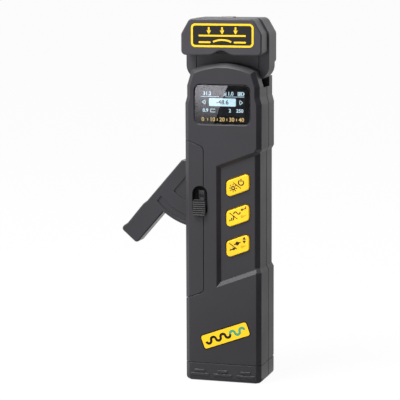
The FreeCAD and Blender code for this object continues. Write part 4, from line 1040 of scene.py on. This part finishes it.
def matte_card(name, colour):
    """Matte card: one even tone without shine."""
    made = material(name)
    tree = made.node_tree
    surface = add(tree, "BsdfDiffuse", {"Color": linear(colour)})
    add(tree, "OutputMaterial", links={"Surface": surface.outputs[0]})
    return made


# The black card stands at the right, turned towards the front.
CARD_BLACK = "#0A0A0A"
black_card = matte_card("black_card", CARD_BLACK)
upright_turn = Matrix.Rotation(math.radians(90), 4, "Y")
card_turn = Matrix.Rotation(math.radians(-22), 4, "Z") @ upright_turn
flag = stage_plane(
    "flag", size=(0.6, 0.6), place=(0.25, -0.175, 0.12), turn=card_turn, paint=black_card
)

# The floor's black card fades out to the left, so that no edge of it shows in the foot.
feathered_card = material("feathered_black_card")
feather = feathered_card.node_tree
feather_place = add(feather, "TexCoord").outputs["Object"]
feather_across = add(feather, "SeparateXYZ", links={"Vector": feather_place}).outputs["X"]
feather_share = add(
    feather,
    "MapRange",
    {"From Min": -0.1, "From Max": 0.08},
    {"Value": feather_across},
    interpolation_type="SMOOTHSTEP",
)
bare = add(feather, "BsdfTransparent")
black = add(feather, "BsdfDiffuse", {"Color": linear(CARD_BLACK)})
feather_blend = add(
    feather,
    "MixShader",
    links={0: feather_share.outputs[0], 1: bare.outputs[0], 2: black.outputs[0]},
)
add(feather, "OutputMaterial", links={"Surface": feather_blend.outputs[0]})
skirt = stage_plane(
    "floor_flag", size=(0.45, 0.26), place=(0.115, -0.135, 0.0006), turn=LEVEL, paint=feathered_card
)

# The gauze rises behind the right side and lets two thirds of the light through.
black_gauze = material("black_gauze")
gauze = black_gauze.node_tree
open_weave = add(gauze, "BsdfTransparent", {"Color": linear("#FFFFFF", share=0.68)})
add(gauze, "OutputMaterial", links={"Surface": open_weave.outputs[0]})
ramp = Matrix.Rotation(math.radians(16.5), 4, "X")
rear = stage_plane(
    "rear_gauze", size=(0.31, 0.42), place=(0.18, 0.22, 0.0605), turn=ramp, paint=black_gauze
)
for dark in (flag, skirt, rear):
    dark.visible_camera = False
    dark.visible_shadow = False
    dark.visible_diffuse = False

# The window mirrors a grey card with a slanted light card in front of it, brighter to the top.
grey_card = matte_card("grey_card", "#5B5B5B")
shade = stage_plane(
    "window_shade", size=(0.09, 0.08), place=(-0.175, -0.6, 0.1), turn=FACE_FRONT, paint=grey_card
)
light_card = material("graded_light_card")
gleam_tree = light_card.node_tree
gleam_place = add(gleam_tree, "TexCoord").outputs["Object"]
gleam_height = add(gleam_tree, "SeparateXYZ", links={"Vector": gleam_place}).outputs["Z"]
gleam_level = add(
    gleam_tree,
    "MapRange",
    {"From Min": 0.083, "From Max": 0.119, "To Min": 0.6, "To Max": 4.1},
    {"Value": gleam_height},
    interpolation_type="SMOOTHSTEP",
)
gleam_light = add(
    gleam_tree, "Emission", {"Color": linear("#FAF8FF")}, {"Strength": gleam_level.outputs[0]}
)
add(gleam_tree, "OutputMaterial", links={"Surface": gleam_light.outputs[0]})
slope = Matrix.Rotation(math.radians(20.6), 4, "Y") @ FACE_FRONT
gleam = stage_plane(
    "window_gleam", size=(0.06, 0.06), place=(-0.2049, -0.599, 0.1124), turn=slope, paint=light_card
)
for mirrored in (shade, gleam):
    mirrored.visible_camera = False

world = bpy.data.worlds.new("studio")
bpy.context.scene.world = world
world.use_nodes = True
sky = world.node_tree
sky.nodes.clear()
level = add(sky, "MapRange", {"To Min": 0.3, "To Max": 1.0}, {"Value": seen_share(sky)})
backdrop = add(sky, "Background", {"Color": linear("#FFFFFF")}, {"Strength": level.outputs[0]})
add(sky, "OutputWorld", links={"Surface": backdrop.outputs[0]})


def soft_lamp(name, place, target, size, radiance):
    """A square area lamp that faces its target, as bright as its radiance from every side."""
    lamp = bpy.data.lights.new(name, "AREA")
    lamp.shape = "SQUARE"
    lamp.size = size
    lamp.energy = radiance * math.pi * size * size
    made = bpy.data.objects.new(name, lamp)
    aim = (Vector(target) - Vector(place)).to_track_quat("-Z", "Y").to_matrix().to_4x4()
    made.matrix_world = Matrix.Translation(place) @ aim
    bpy.context.scene.collection.objects.link(made)


soft_lamp("front_softbox", place=(-0.7, -1.1, 1.0), target=(0, 0, 0.1), size=0.9, radiance=0.9)
soft_lamp("top_softbox", place=(-0.33, -0.5, 1.08), target=(0, 0, 0.12), size=0.5, radiance=25.0)

# Camera. It stands at the photograph's height and side with a long lens, turned a quarter of a
# degree about its own axis as the photograph is.

AZIMUTH = 17.445
ELEVATION = 7.914
ROLL = -0.235
CAMERA_AT = (0.286432, -0.966929, 0.240055)
camera = bpy.data.cameras.new("camera")
camera.lens = 165.55
camera.sensor_width = 36.0
view = bpy.data.objects.new("camera", camera)
side_angle = math.radians(AZIMUTH)
down_angle = math.radians(ELEVATION)
look = Vector((-math.sin(side_angle), math.cos(side_angle), -math.tan(down_angle)))
turn_to = look.to_track_quat("-Z", "Y").to_matrix().to_4x4()
roll = Matrix.Rotation(math.radians(ROLL), 4, "Z")
view.matrix_world = Matrix.Translation(CAMERA_AT) @ turn_to @ roll
bpy.context.scene.collection.objects.link(view)
bpy.context.scene.camera = view
bpy.context.scene.view_settings.view_transform = "Standard"
